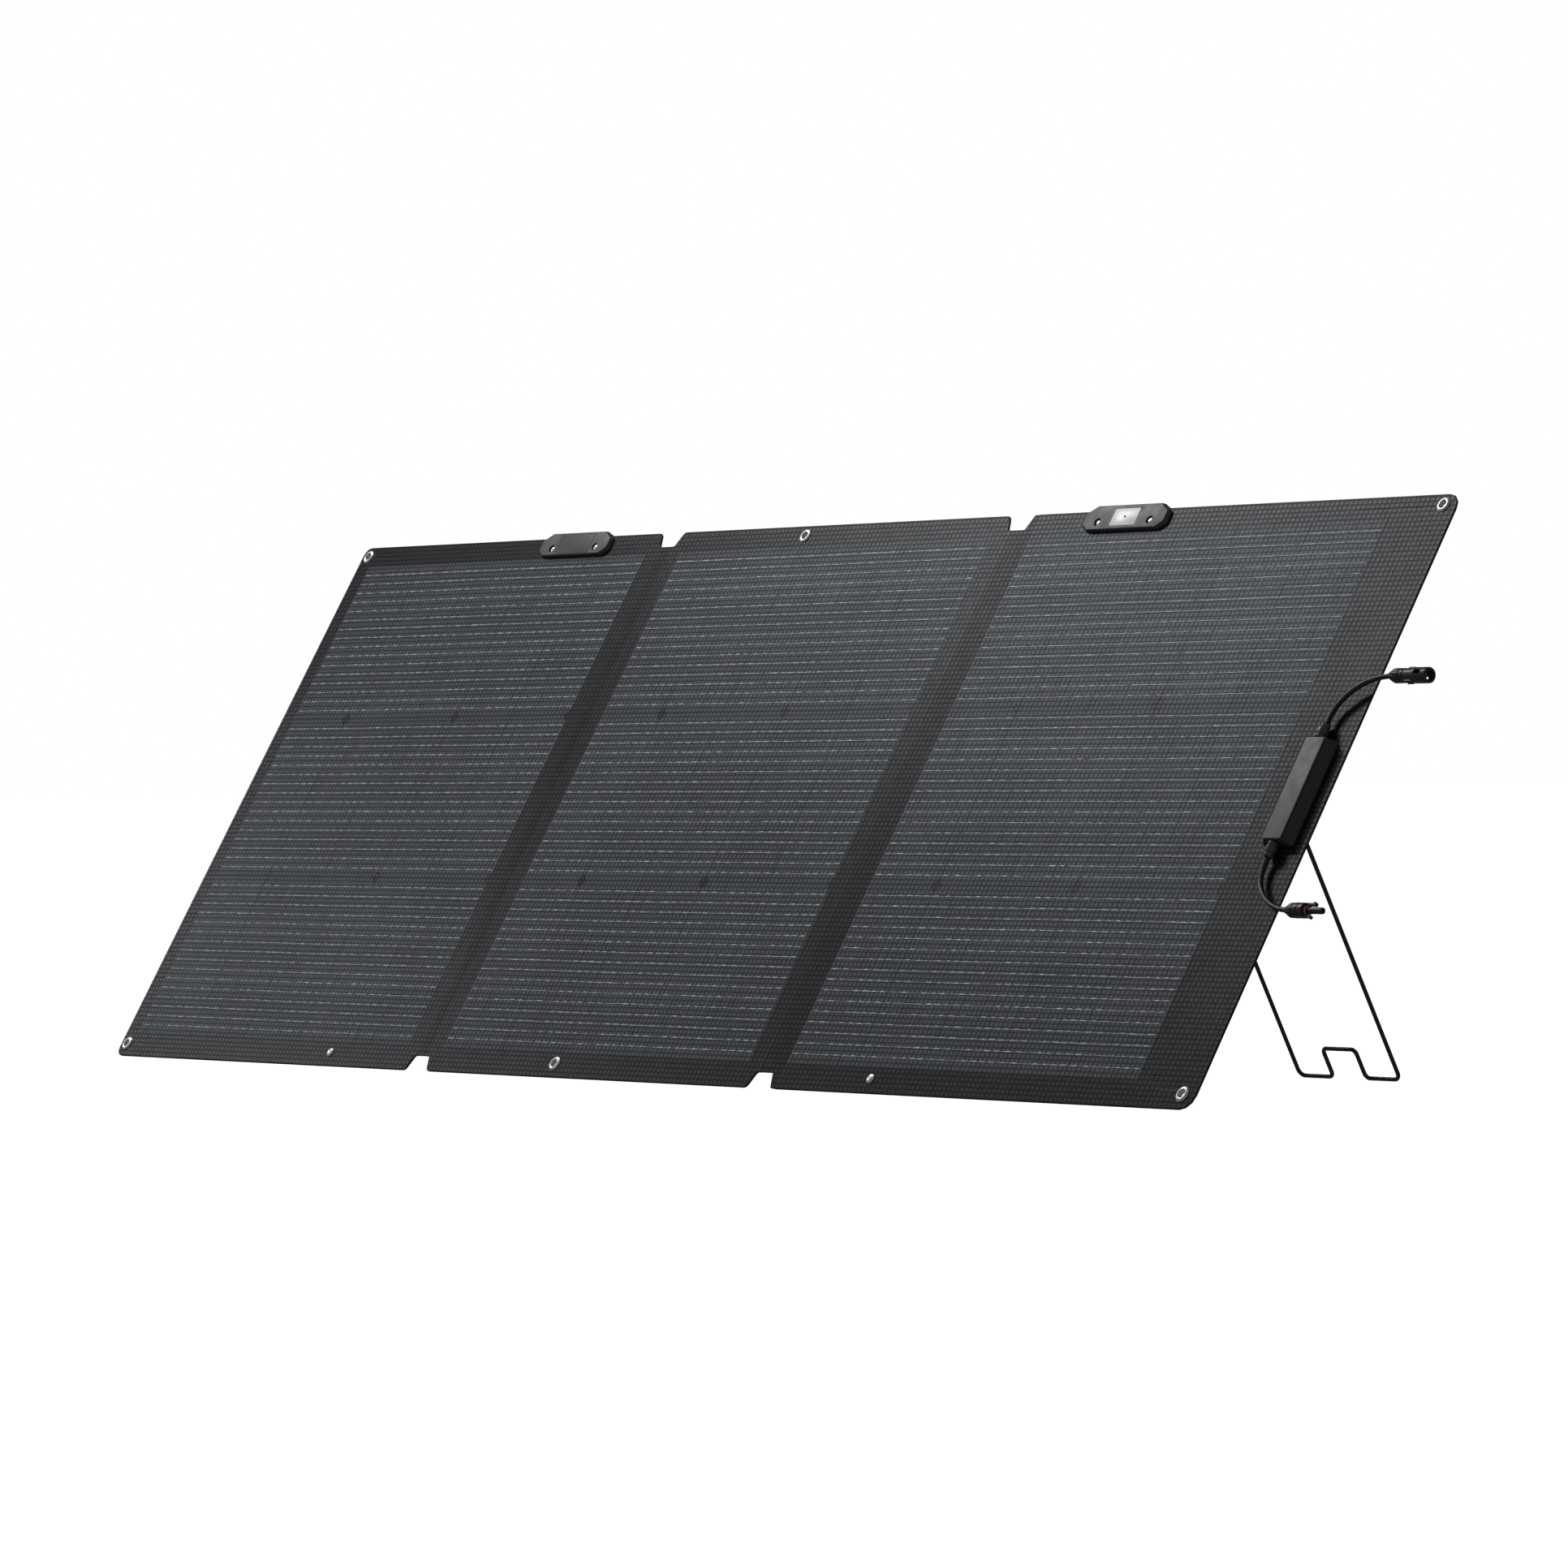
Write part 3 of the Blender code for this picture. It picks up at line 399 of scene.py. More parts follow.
def ripple(u, v):
    """Height of the laminate's slight waviness, which dies out towards its edges."""
    edge = min(HALF_WIDTH - abs(u), v, HEIGHT - v)
    for fold in FOLDS.values():
        centre, half = (fold["inner"] + fold["outer"]) / 2, abs(fold["inner"] - fold["outer"]) / 2
        edge = min(edge, abs(u - centre) - half)
    fade = max(0.0, min(1.0, edge / RIPPLE_EDGE))
    wave = noise.noise(Vector((u * 7.0, v * 7.0, 3.1))) + 0.5 * noise.noise(Vector((u * 17, v * 17, 8.2)))
    return RIPPLE_HEIGHT * wave * fade * fade * (3 - 2 * fade)


def cut_grid(shape, step_u, step_v):
    """Cuts a flat mesh along lines of u and v."""
    us = [vert.co.x for vert in shape.verts]
    vs = [vert.co.y for vert in shape.verts]
    for values, axis, step in ((us, 0, step_u), (vs, 1, step_v)):
        low, high = min(values), max(values)
        count = round((high - low) / step)
        for k in range(1, count):
            point, normal = Vector((0, 0, 0)), Vector((0, 0, 0))
            point[axis] = low + (high - low) * k / count
            normal[axis] = 1
            geometry = shape.verts[:] + shape.edges[:] + shape.faces[:]
            bmesh.ops.bisect_plane(shape, geom=geometry, plane_co=point, plane_no=normal)


def cad_face(node, level):
    """The flat face of a CAD plate at this height over the array plane, as a bmesh."""
    shape = bmesh.new()
    shape.from_mesh(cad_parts[node].data)
    shape.transform(FLAT)
    bmesh.ops.remove_doubles(shape, verts=shape.verts, dist=1e-5)
    away = [face for face in shape.faces
            if any(abs(vert.co.z - level) > 5e-5 for vert in face.verts)]
    bmesh.ops.delete(shape, geom=away, context="FACES")
    for vert in shape.verts:
        vert.co.z = level
    return shape


def thick_sheet(node, level, thickness, outward):
    """A wavy closed sheet, cut into a fine grid, from a CAD plate's outer face."""
    shape = cad_face(node, level)
    bmesh.ops.recalc_face_normals(shape, faces=shape.faces)
    if shape.faces[0].normal.z * outward < 0:
        bmesh.ops.reverse_faces(shape, faces=shape.faces)
    cut_grid(shape, 0.012, 0.012)
    for vert in shape.verts:
        vert.co.z += ripple(vert.co.x, vert.co.y)
    made = bmesh.ops.extrude_face_region(shape, geom=shape.faces[:])
    moved = [item for item in made["geom"] if isinstance(item, bmesh.types.BMVert)]
    for vert in set(shape.verts) - set(moved):
        vert.co.z -= outward * thickness
    bmesh.ops.recalc_face_normals(shape, faces=shape.faces)
    return shape


# ---- leads ----
LEAD_DIAMETER = 0.0052
UPPER_ROUTE = [
    (0.9050, 0.4215, 0.0060), (0.9054, 0.4300, 0.0060), (0.9085, 0.4390, 0.0066),
    (0.9140, 0.4475, 0.0074), (0.9220, 0.4560, 0.0080), (0.9315, 0.4625, 0.0084),
    (0.9430, 0.4678, 0.0085), (0.9560, 0.4713, 0.0083), (0.9686, 0.4730, 0.0080),
]
LOWER_ROUTE = [
    (0.9050, 0.2705, 0.0060), (0.9050, 0.2620, 0.0054), (0.9063, 0.2530, 0.0052),
    (0.9098, 0.2445, 0.0055), (0.9160, 0.2366, 0.0061), (0.9247, 0.2290, 0.0068),
    (0.9340, 0.2228, 0.0072), (0.9445, 0.2178, 0.0075), (0.9560, 0.2144, 0.0075),
    (0.9676, 0.2130, 0.0075),
]
LEAD_POINTS = 34


def smooth_route(route, count):
    """Evenly spaced points of a Catmull-Rom curve through the route's points."""
    first, last = Vector(route[0]), Vector(route[-1])
    knots = [2 * first - Vector(route[1])] + [Vector(p) for p in route] + [2 * last - Vector(route[-2])]
    fine = []
    for a, b, c, d in zip(knots, knots[1:], knots[2:], knots[3:]):
        for k in range(12):
            t = k / 12
            fine.append(0.5 * (2 * b + (c - a) * t + (2 * a - 5 * b + 4 * c - d) * t * t
                               + (3 * b - a - 3 * c + d) * t ** 3))
    fine.append(last)
    lengths = [0.0]
    for a, b in zip(fine, fine[1:]):
        lengths.append(lengths[-1] + (b - a).length)
    points, k = [], 0
    for i in range(count):
        target = lengths[-1] * i / (count - 1)
        while k < len(fine) - 2 and lengths[k + 1] < target:
            k += 1
        share = (target - lengths[k]) / (lengths[k + 1] - lengths[k])
        points.append(fine[k].lerp(fine[k + 1], min(1, share)))
    return points, lengths[-1]


def tube(name, points, radius, material, body, node):
    """A round tube along points in the array plane's axes, as one open curve."""
    curve = bpy.data.curves.new(name, "CURVE")
    curve.dimensions = "3D"
    curve.bevel_depth = radius
    curve.bevel_resolution = 6
    curve.use_fill_caps = True
    spline = curve.splines.new("POLY")
    spline.points.add(len(points) - 1)
    for point, where in zip(spline.points, points):
        point.co = (*(PLANE @ Vector(where)), 1)
    spline.use_smooth = True
    curve.materials.append(MATERIALS[material])
    return finished(bpy.data.objects.new(name, curve), body, node)


def turned(profile, steps=48, closed=True, ribs=0, depth=0.0, ribbed=(0, 0)):
    """A shape turned about Z from (radius, height) pairs, with ribs along it between two heights."""
    shape = bmesh.new()
    steps = max(steps, ribs * 8)
    rings = []
    for radius, height in profile:
        if radius < 1e-7:
            rings.append([shape.verts.new((0, 0, height))])
            continue
        ring = []
        for k in range(steps):
            turn = 2 * math.pi * k / steps
            cut = 0.0
            if ribs and ribbed[0] <= height <= ribbed[1]:
                cut = depth * max(0.0, math.cos(turn * ribs)) ** 0.5
            ring.append(shape.verts.new(((radius - cut) * math.cos(turn),
                                         (radius - cut) * math.sin(turn), height)))
        rings.append(ring)
    pairs = list(zip(rings, rings[1:])) + ([(rings[-1], rings[0])] if closed else [])
    for a, b in pairs:
        if len(a) == 1 and len(b) == 1:
            continue
        for i in range(steps):
            j = (i + 1) % steps
            if len(a) == 1:
                shape.faces.new((a[0], b[i], b[j]))
            elif len(b) == 1:
                shape.faces.new((a[i], b[0], a[j]))
            else:
                shape.faces.new((a[i], b[i], b[j], a[j]))
    bmesh.ops.recalc_face_normals(shape, faces=shape.faces)
    return shape


def eased(profile, radius, closed=True):
    """A profile with every corner given the same small radius, where its sides are long enough."""
    corners = []
    for i, point in enumerate(profile):
        before, after = Vector(profile[i - 1]), Vector(profile[(i + 1) % len(profile)])
        here = Vector(point)
        room = min((before - here).length, (after - here).length) * 0.45
        back, ahead = (before - here).normalized(), (after - here).normalized()
        half = back.angle(ahead) / 2
        most = room * math.tan(half)
        flat = half > math.radians(86) or (not closed and i in (0, len(profile) - 1))
        corners.append(((*point, 0), 0 if flat else min(radius, most)))
    return [(max(0.0, p.x), p.y) for p in fillet(corners, closed, 3)]


def block(size, centre, turn=(0, 0, 0)):
    shape = bmesh.new()
    bmesh.ops.create_cube(shape, size=1, matrix=Matrix.Diagonal((*size, 1)))
    return placed(shape, centre, turn)


def rod(radius, length, centre, turn=(0, 0, 0)):
    shape = bmesh.new()
    bmesh.ops.create_cone(shape, cap_ends=True, segments=40, radius1=radius, radius2=radius, depth=length)
    return placed(shape, centre, turn)


def carved(shape, cutters=(), unions=()):
    """The shape with some shapes joined to it and others taken away, as a bmesh."""
    steps = [("UNION", mesh_of(other)) for other in unions]
    steps += [("DIFFERENCE", mesh_of(other)) for other in cutters]
    holder = bpy.data.objects.new("carved", mesh_of(shape))
    bpy.context.scene.collection.objects.link(holder)
    helpers = []
    for operation, mesh in steps:
        helper = bpy.data.objects.new("carver", mesh)
        bpy.context.scene.collection.objects.link(helper)
        helpers.append(helper)
        modifier = holder.modifiers.new("carve", "BOOLEAN")
        modifier.operation = operation
        modifier.solver = "EXACT"
        modifier.object = helper
    graph = bpy.context.evaluated_depsgraph_get()
    graph.update()
    made = bmesh.new()
    made.from_mesh(holder.evaluated_get(graph).to_mesh())
    for obj in helpers + [holder]:
        bpy.data.objects.remove(obj, do_unlink=True)
    bmesh.ops.remove_doubles(made, verts=made.verts, dist=2e-6)
    return made


ALONG = (0, math.pi / 2, 0)      # turns a shape about Z to lie along the width
LEAD_END = Vector((0.0003, 0, 0))
SOCKET_RIBS = (-0.0030, 0.0, 0.0030)


def clamp_nut(length, shoulder, neck, ribbed):
    """A connector's ribbed clamp nut, which tapers down to the lead."""
    profile = eased([(0, length), (0.0074, length), (0.0074, shoulder), (0.0065, neck),
                     (0.0042, 0.0010), (0.0038, 0), (0, 0)], 0.0006, False)
    return turned(profile, closed=False, ribs=14, depth=0.00055, ribbed=ribbed)


def socket_parts():
    """The upper lead's connector: a ribbed housing with two windows, and its contact."""
    housing = eased([(0.0052, 0.0557), (0.0074, 0.0557), (0.0079, 0.0547), (0.0079, 0.0364),
                     (0.0073, 0.0345), (0.0073, 0.0250), (0.0068, 0.0243), (0.0068, 0.0226),
                     (0.0073, 0.0219), (0.0073, 0.0183), (0.0046, 0.0183), (0.0046, 0.0245),
                     (0.0052, 0.0255)], 0.0005)
    windows = [block((0.0200, 0.0044, 0.0100), (0, 0, 0.0435))]
    ribs = [carved(block((0.0009, 0.0156, 0.0090), (x, 0, 0.0300)),
                   [block((0.002, 0.0125, 0.02), (x, 0, 0.0300))]) for x in SOCKET_RIBS]
    contact = eased([(0.0012, 0.0490), (0.0022, 0.0490), (0.0022, 0.0250), (0.0042, 0.0240),
                     (0.0042, 0.0186), (0.0012, 0.0186)], 0.0002)
    return (("clamp_nut", "nut", clamp_nut(0.0180, 0.0080, 0.0060, (0.0078, 0.0165))),
            ("housing", "housing", carved(turned(housing, 64), windows, ribs)),
            ("contact", "contact", turned(contact, 32)))


def plug_parts():
    """The lower lead's connector: a housing with two latch arms, a red seal and the probe."""
    housing = eased([(0.0036, 0.0280), (0.0071, 0.0280), (0.0076, 0.0270), (0.0076, 0.0225),
                     (0.0071, 0.0218), (0.0071, 0.0202), (0.0076, 0.0195), (0.0076, 0.0143),
                     (0.0036, 0.0143)], 0.0004)
    arms = []
    for sign in (-1, 1):
        arms.append(block((0.0046, 0.0018, 0.0115), (0, sign * 0.0064, 0.0325)))
        arms.append(block((0.0046, 0.0030, 0.0030), (0, sign * 0.0069, 0.0370), (-sign * 0.2, 0, 0)))
    seal = eased([(0.0036, 0.0306), (0.0048, 0.0304), (0.0050, 0.0296), (0.0048, 0.0285),
                  (0.0036, 0.0283)], 0.0004)
    probe = eased([(0, 0.0410), (0.0018, 0.0410), (0.0018, 0.0515), (0.0030, 0.0515),
                   (0.0033, 0.0507), (0.0033, 0.0350), (0.0030, 0.0345), (0.0030, 0.0335),
                   (0.0033, 0.0330), (0.0033, 0.0150), (0, 0.0150)], 0.0003, False)
    return (("clamp_nut", "nut", clamp_nut(0.0140, 0.0075, 0.0058, (0.0072, 0.0130))),
            ("housing", "housing", carved(turned(housing, 64), (), arms)),
            ("seal", "seal", turned(seal, 40)), ("probe", "probe", turned(probe, 32, False)))


def make_connectors():
    """Two connectors: a socket on the upper lead and a latching plug on the lower one."""
    materials = {"contact": "tinned_copper", "seal": "seal_rubber"}
    for kind, lead, route, parts in (("socket", "upper", UPPER_ROUTE, socket_parts()),
                                     ("plug", "lower", LOWER_ROUTE, plug_parts())):
        for word, node, shape in parts:
            piece(f"{kind}_{word}", shape, materials.get(word, "connector_plastic"), "right",
                  f"{lead}_connector_{node}", Vector(route[-1]) + LEAD_END, ALONG)


def make_leads():
    make_connectors()
    for word, route in (("upper", UPPER_ROUTE), ("lower", LOWER_ROUTE)):
        points, length = smooth_route(route, LEAD_POINTS)
        lead = tube(word + "_lead_cable", points, LEAD_DIAMETER / 2, "lead_rubber", "right_panel",
                    word + "_lead")


make_leads()
paint_nodes()


# ---- laminated panels ----
FILM_THICKNESS, CLOTH_THICKNESS = 0.0008, 0.0005


def make_sheets():
    for side in PANELS:
        front = thick_sheet(side + "_front_sheet", 0.0, FILM_THICKNESS, 1)
        piece(side + "_front_film", front, "film_fabric", side, side + "_front_sheet")
        back = thick_sheet(side + "_back_fabric", -THICKNESS, CLOTH_THICKNESS, -1)
        piece(side + "_back_cloth", back, "back_cloth", side, side + "_back_fabric")


def outer_loop(node, level):
    """The points round a CAD plate's outline, in order, anticlockwise seen from the cell side."""
    shape = cad_face(node, level)
    follow = {}
    for edge in shape.edges:
        if len(edge.link_faces) == 1:
            for a, b in itertools.permutations(edge.verts):
                follow.setdefault(a, []).append(b)
    start = here = min(follow, key=lambda vert: vert.co.x)
    loop, before = [], None
    while before is None or here != start:
        loop.append(here.co.copy())
        before, here = here, next(vert for vert in follow[here] if vert != before)
    shape.free()
    area = sum(a.x * b.y - b.x * a.y for a, b in zip(loop, loop[1:] + loop[:1]))
    return loop if area > 0 else loop[::-1]


def outward(loop):
    """The outward direction at each point of an anticlockwise loop."""
    ways = []
    for i, point in enumerate(loop):
        before = (point - loop[i - 1]).normalized()
        after = (loop[(i + 1) % len(loop)] - point).normalized()
        a, b = Vector((before.y, -before.x, 0)), Vector((after.y, -after.x, 0))
        total = (a + b).normalized()
        ways.append(total / max(0.4, total.dot(a)))
    return ways


RIM = ((-0.0010, -0.00006), (0.00005, -0.00006), (0.00035, -0.0004), (0.00045, -0.0013),
       (0.00035, -0.0022), (0.00005, -0.00254), (-0.0010, -0.00254))


def make_rims():
    """The dark pressed edge that closes each panel's sandwich all round."""
    for side in PANELS:
        loop = outer_loop(side + "_front_sheet", 0.0)
        ways = outward(loop)
        shape = bmesh.new()
        rings = [[shape.verts.new(point + way * out + Vector((0, 0, height - point.z)))
                  for point, way in zip(loop, ways)] for out, height in RIM]
        skin(shape, rings + rings[:1])
        bmesh.ops.recalc_face_normals(shape, faces=shape.faces)
        piece(side + "_edge_seal", shape, "cut_edge", side)


# ---- folds ----
FOLD_LAP = 0.003
FOLD_BEND = 0.0019           # half width of the bend at a hinge line
FOLD_ROWS = 61
CREASE_REACH = 0.0022


def fold_end(u, fold):
    """How far in from the panel's edge the fold's fabric ends, at this place along the width."""
    across = abs(u - fold["notch"])
    if across <= NOTCH_INNER:
        return NOTCH_DEPTH
    return max(0.0004, NOTCH_DEPTH * (NOTCH_OUTER - across) / (NOTCH_OUTER - NOTCH_INNER))


def fold_knots(fold, centre, half, toward):
    """Distances from the fold's centre line at which a half's fabric has a line of points."""
    seam = half + HINGE_CLEARANCE
    knots = [0.0, seam + 0.0002, seam + 0.0016, seam + FOLD_LAP]
    knots += [half + FOLD_BEND * k / 4 for k in range(-4, 5)]
    knots += [0.0028 * k for k in range(1, 5) if 0.0028 * k < half - FOLD_BEND - 0.0008]
    for corner in (NOTCH_INNER, NOTCH_OUTER):
        for sign in (-1, 1):
            distance = (fold["notch"] + sign * corner - centre) * toward
            if 0.0004 < distance < half - FOLD_BEND:
                knots.append(distance)
    return sorted(set(knots))


def fold_half(fold, centre, half, toward):
    """The closed sheet from a fold's centre line to just past one hinge line, with cut ends."""
    knots = fold_knots(fold, centre, half, toward)
    shape = bmesh.new()
    layers = []
    for face in (0, 1):
        sheet = []
        for distance in knots:
            crease = max(0.0, 1 - ((distance - half) / CREASE_REACH) ** 2)
            depth = 0.00004 + 0.00006 * crease
            w = -depth if face == 0 else -THICKNESS + depth
            end = fold_end(centre + toward * min(distance, half + HINGE_CLEARANCE), fold)
            sheet.append([shape.verts.new((centre + toward * distance,
                                           end + (HEIGHT - 2 * end) * k / (FOLD_ROWS - 1), w))
                          for k in range(FOLD_ROWS)])
        layers.append(sheet)
    top, low = layers
    last = len(knots) - 1
    for i in range(last):
        for k in range(FOLD_ROWS - 1):
            shape.faces.new((top[i][k], top[i + 1][k], top[i + 1][k + 1], top[i][k + 1]))
            shape.faces.new((low[i][k], low[i][k + 1], low[i + 1][k + 1], low[i + 1][k]))
        for k in (0, FOLD_ROWS - 1):
            shape.faces.new((top[i][k], low[i][k], low[i + 1][k], top[i + 1][k]))
    for i in (0, last):
        for k in range(FOLD_ROWS - 1):
            shape.faces.new((top[i][k], top[i][k + 1], low[i][k + 1], low[i][k]))
    bmesh.ops.recalc_face_normals(shape, faces=shape.faces)
    return shape


def make_folds():
    """Each fold's band of fabric, in two halves that meet midway between the hinge lines."""
    for side, fold in FOLDS.items():
        centre = (fold["inner"] + fold["outer"]) / 2
        half = abs(fold["inner"] - fold["outer"]) / 2
        for part, panel in (("inner", "middle_panel"), ("outer", side + "_panel")):
            toward = 1 if fold[part] > centre else -1
            obj = piece(f"{side}_fold_{part}", fold_half(fold, centre, half, toward), "fold_fabric", None,
                        side + "_fold_strip")
            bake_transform(obj)


# ---- cells ----
CELL_PITCH = 0.10985
COLUMNS = 5
FIELD_START = {"left": -0.9207, "middle": -0.3086, "right": 0.3027}
ROWS = (0.0283, 0.2386, 0.4489, 0.6592)
CHAMFER, SMALL_CHAMFER = 0.0085, 0.0006
CELL_GAP_U, CELL_GAP_V = 0.0002, 0.0003         # from a cell's edge to its row or column line
CELL_LOW, CELL_HEIGHT, CELL_SINK = 0.00004, 0.00010, -0.0001
BUSBARS = 16
BUSBAR_FIRST, BUSBAR_PITCH = 0.0121, 0.0124
PADS = (0.0084, 0.0264, 0.0586, 0.0740, 0.0873, 0.1015)
RIBBON_WIDTH, PAD_WIDTH = 0.0008, 0.0020


def cell_outline(start, row, column):
    """A cell's corners. Corners are cut on one side of each cell, where two cells share a wafer."""
    u0 = start + column * CELL_PITCH + (CELL_GAP_U if column else 0.0)
    u1 = start + (column + 1) * CELL_PITCH - CELL_GAP_U
    v0, v1 = ROWS[row] + CELL_GAP_V, ROWS[row + 1] - CELL_GAP_V
    low_cut = CHAMFER if row > 0 else SMALL_CHAMFER
    high_cut = CHAMFER if row < 2 else SMALL_CHAMFER
    if column % 2 == 0:
        return [(u0, v0), (u1 - low_cut, v0), (u1, v0 + low_cut), (u1, v1 - high_cut),
                (u1 - high_cut, v1), (u0, v1)]
    return [(u0 + low_cut, v0), (u1, v0), (u1, v1), (u0 + high_cut, v1), (u0, v1 - high_cut),
            (u0, v0 + low_cut)]


def make_cells():
    """Thin raised cells with a sloped edge, each a little lighter or darker than the next."""
    for side, start in FIELD_START.items():
        shape = bmesh.new()
        tone = shape.faces.layers.float.new("tone")
        for row, column in itertools.product(range(3), range(COLUMNS)):
            outline = cell_outline(start, row, column)
            key = noise.noise(Vector((column * 3.7 + row * 11.3, start * 9, 1.7)))
            ground, low = ([shape.verts.new((u, v, w)) for u, v in outline]
                           for w in (CELL_SINK, CELL_LOW))
            us, vs = zip(*outline)
            middle = Vector(((min(us) + max(us)) / 2, (min(vs) + max(vs)) / 2, 0))
            high = []
            for u, v in outline:
                inward = (middle - Vector((u, v, 0))).normalized() * 0.0003
                high.append(shape.verts.new((u + inward.x, v + inward.y, CELL_HEIGHT)))
            made = [shape.faces.new(high), shape.faces.new(ground[::-1])]
            for face in made + skin(shape, (ground, low, high), turned=True):
                face[tone] = 1.0 + 0.10 * key
        bmesh.ops.recalc_face_normals(shape, faces=shape.faces)
        cut_grid(shape, 0.0275, 0.0210)
        for vert in shape.verts:
            vert.co.z += ripple(vert.co.x, vert.co.y)
        piece(side + "_cells", shape, "cell_film", side, angle=4)


def strip_box(shape, u0, u1, v, width, low, high):
    """A low ridge along u with a chamfered top, following the laminate's waviness."""
    steps = max(1, round((u1 - u0) / 0.0275))
    section = ((-width / 2, low), (-width * 0.44, high), (width * 0.44, high), (width / 2, low))
    rings = []
    for k in range(steps + 1):
        u = u0 + (u1 - u0) * k / steps
        rise = ripple(u, v)
        rings.append([shape.verts.new((u, v + dv, w + rise)) for dv, w in section])
    shape.faces.new(rings[0])
    shape.faces.new(rings[-1][::-1])
    skin(shape, rings)


def make_ribbons():
    """Thin flat ribbons soldered across each row of cells, with wider pads along them."""
    for side, start in FIELD_START.items():
        end = start + COLUMNS * CELL_PITCH
        shape = bmesh.new()
        for row, k in itertools.product(range(3), range(BUSBARS)):
            v = ROWS[row] + BUSBAR_FIRST + BUSBAR_PITCH * k
            strip_box(shape, start + 0.002, end - 0.002, v, RIBBON_WIDTH, 0.00006, 0.00022)
            for column in range(COLUMNS):
                for n, offset in enumerate(PADS):
                    u = start + column * CELL_PITCH + offset
                    pick = noise.noise(Vector((u * 91, v * 77, n + 0.5)))
                    length = 0.0024 + 0.0022 * max(0.0, 0.5 + pick)
                    strip_box(shape, u - length, u + length, v, PAD_WIDTH, 0.0001, 0.00027)
        bmesh.ops.recalc_face_normals(shape, faces=shape.faces)
        piece(side + "_ribbons", shape, "ribbon_metal", side, angle=60)


make_sheets()
make_rims()
make_folds()
make_cells()
make_ribbons()


# ---- hardware ----
EYELETS = {
    "left_top": ("left", -0.9316, 0.6735), "left_bottom": ("left", -0.9316, 0.0150),
    "middle_top": ("middle", -0.0905, 0.6735), "middle_bottom": ("middle", -0.0905, 0.0155),
    "right_top": ("right", 0.9255, 0.6740), "right_bottom": ("right", 0.9255, 0.0155),
}
GAP = 0.0003                            # between neighbouring solids
BACK = -THICKNESS - GAP
BOTTOM_RIVETS = {"left": (-0.5150, 0.0158), "right": (0.4490, 0.0158)}
CLIP_U = {"left": -0.5135, "right": 0.4495}
CLIP_V, CLIP_RIVET_U, CLIP_RIVET_V, WINDOW_V = 0.6755, 0.0411, 0.6700, 0.6752
CLIP_HEIGHT, CLIP_BACK_HEIGHT, CLIP_ROUND = 0.0044, 0.0030, 0.0007
CLIP_HALF_U, CLIP_HALF_V, CLIP_LIP_V = 0.067, 0.0150, 0.0148
POCKETS = {"left": (0.0646, 0.0256), "right": (0.0406, 0.0211)}
POCKET_DEPTH = 0.0012
RIVET_HOLE, RIVET_SIDE = 0.0023, 0.0003


def make_eyelets():
    """Rolled metal eyelets, each with a spread washer behind."""
    profile = [(0.0040, 0.0006), (0.0041, 0.0011), (0.0046, 0.00152), (0.0054, 0.00172),
               (0.0063, 0.00168), (0.0073, 0.00135), (0.0081, 0.0009), (0.0085, 0.0005),
               (0.0085, 0.0003), (0.0048, 0.0003), (0.0048, BACK), (0.0078, BACK),
               (0.0080, BACK - 0.0003), (0.0078, BACK - 0.00062), (0.0070, BACK - 0.0008),
               (0.0050, BACK - 0.0008), (0.0042, BACK - 0.0007), (0.0040, BACK - 0.0003)]
    for name, (side, u, v) in EYELETS.items():
        piece(name + "_eyelet_ring", turned(profile), "nickel", side, name + "_eyelet", (u, v, 0))


def rivet(head, low, high, tail_top, tail):
    """A rivet's shape: a domed head, a shank and a pressed tail with a dimple."""
    dome = [(0, high)]
    for k in range(1, 7):
        turn = math.pi / 2 * k / 6
        dome.append((head * math.sin(turn), low + RIVET_SIDE + (high - low - RIVET_SIDE) * math.cos(turn)))
    dome += [(head, low), (0.0020, low), (0.0020, tail_top), (tail, tail_top)]
    dome += [(tail * radius, tail_top - 0.0009 * depth)
             for radius, depth in ((1, 0.6), (0.86, 1), (0.30, 1), (0.22, 0.5), (0, 0.45))]
    return turned(dome, 36, False)


def make_rivets():
    for side, (u, v) in BOTTOM_RIVETS.items():
        shape = rivet(0.0055, GAP, 0.0019, BACK, 0.0050)
        piece(side + "_bottom_rivet_head", shape, "nickel", side, side + "_bottom_rivet", (u, v, 0))
        outer = -1 if side == "left" else 1
        for word, sign in (("outer", outer), ("inner", -outer)):
            shape = rivet(0.0037, 0.0022, 0.0036, BACK - 0.0033, 0.0037)
            piece(f"{side}_clip_{word}_rivet_head", shape, "nickel", side,
                  f"{side}_clip_rivet_{word}", (CLIP_U[side] + sign * CLIP_RIVET_U, CLIP_RIVET_V, 0))


def loft(outlines):
    """A closed shape through outlines of the same number of points, each a list of vectors."""
    shape = bmesh.new()
    rings = [[shape.verts.new(point) for point in outline] for outline in outlines]
    shape.faces.new(rings[0])
    shape.faces.new(rings[-1][::-1])
    skin(shape, rings, turned=True)
    bmesh.ops.recalc_face_normals(shape, faces=shape.faces)
    return shape


def boxed(size, corner, w, inset=(0, 0)):
    """A rectangle with rounded corners at a height, drawn in by the inset."""
    x, y = size[0] / 2 - inset[0], size[1] / 2 - inset[1]
    corners = [(-x, -y), (x, -y), (x, y), (-x, y)]
    return [Vector((p.x, p.y, w)) for p in fillet([((u, v, 0), corner) for u, v in corners])]


def tile(size, corner, steps):
    """A rounded plate through steps, each a height and how far its outline is drawn in."""
    return loft([boxed(size, corner, w, (inset, inset)) for w, inset in steps])


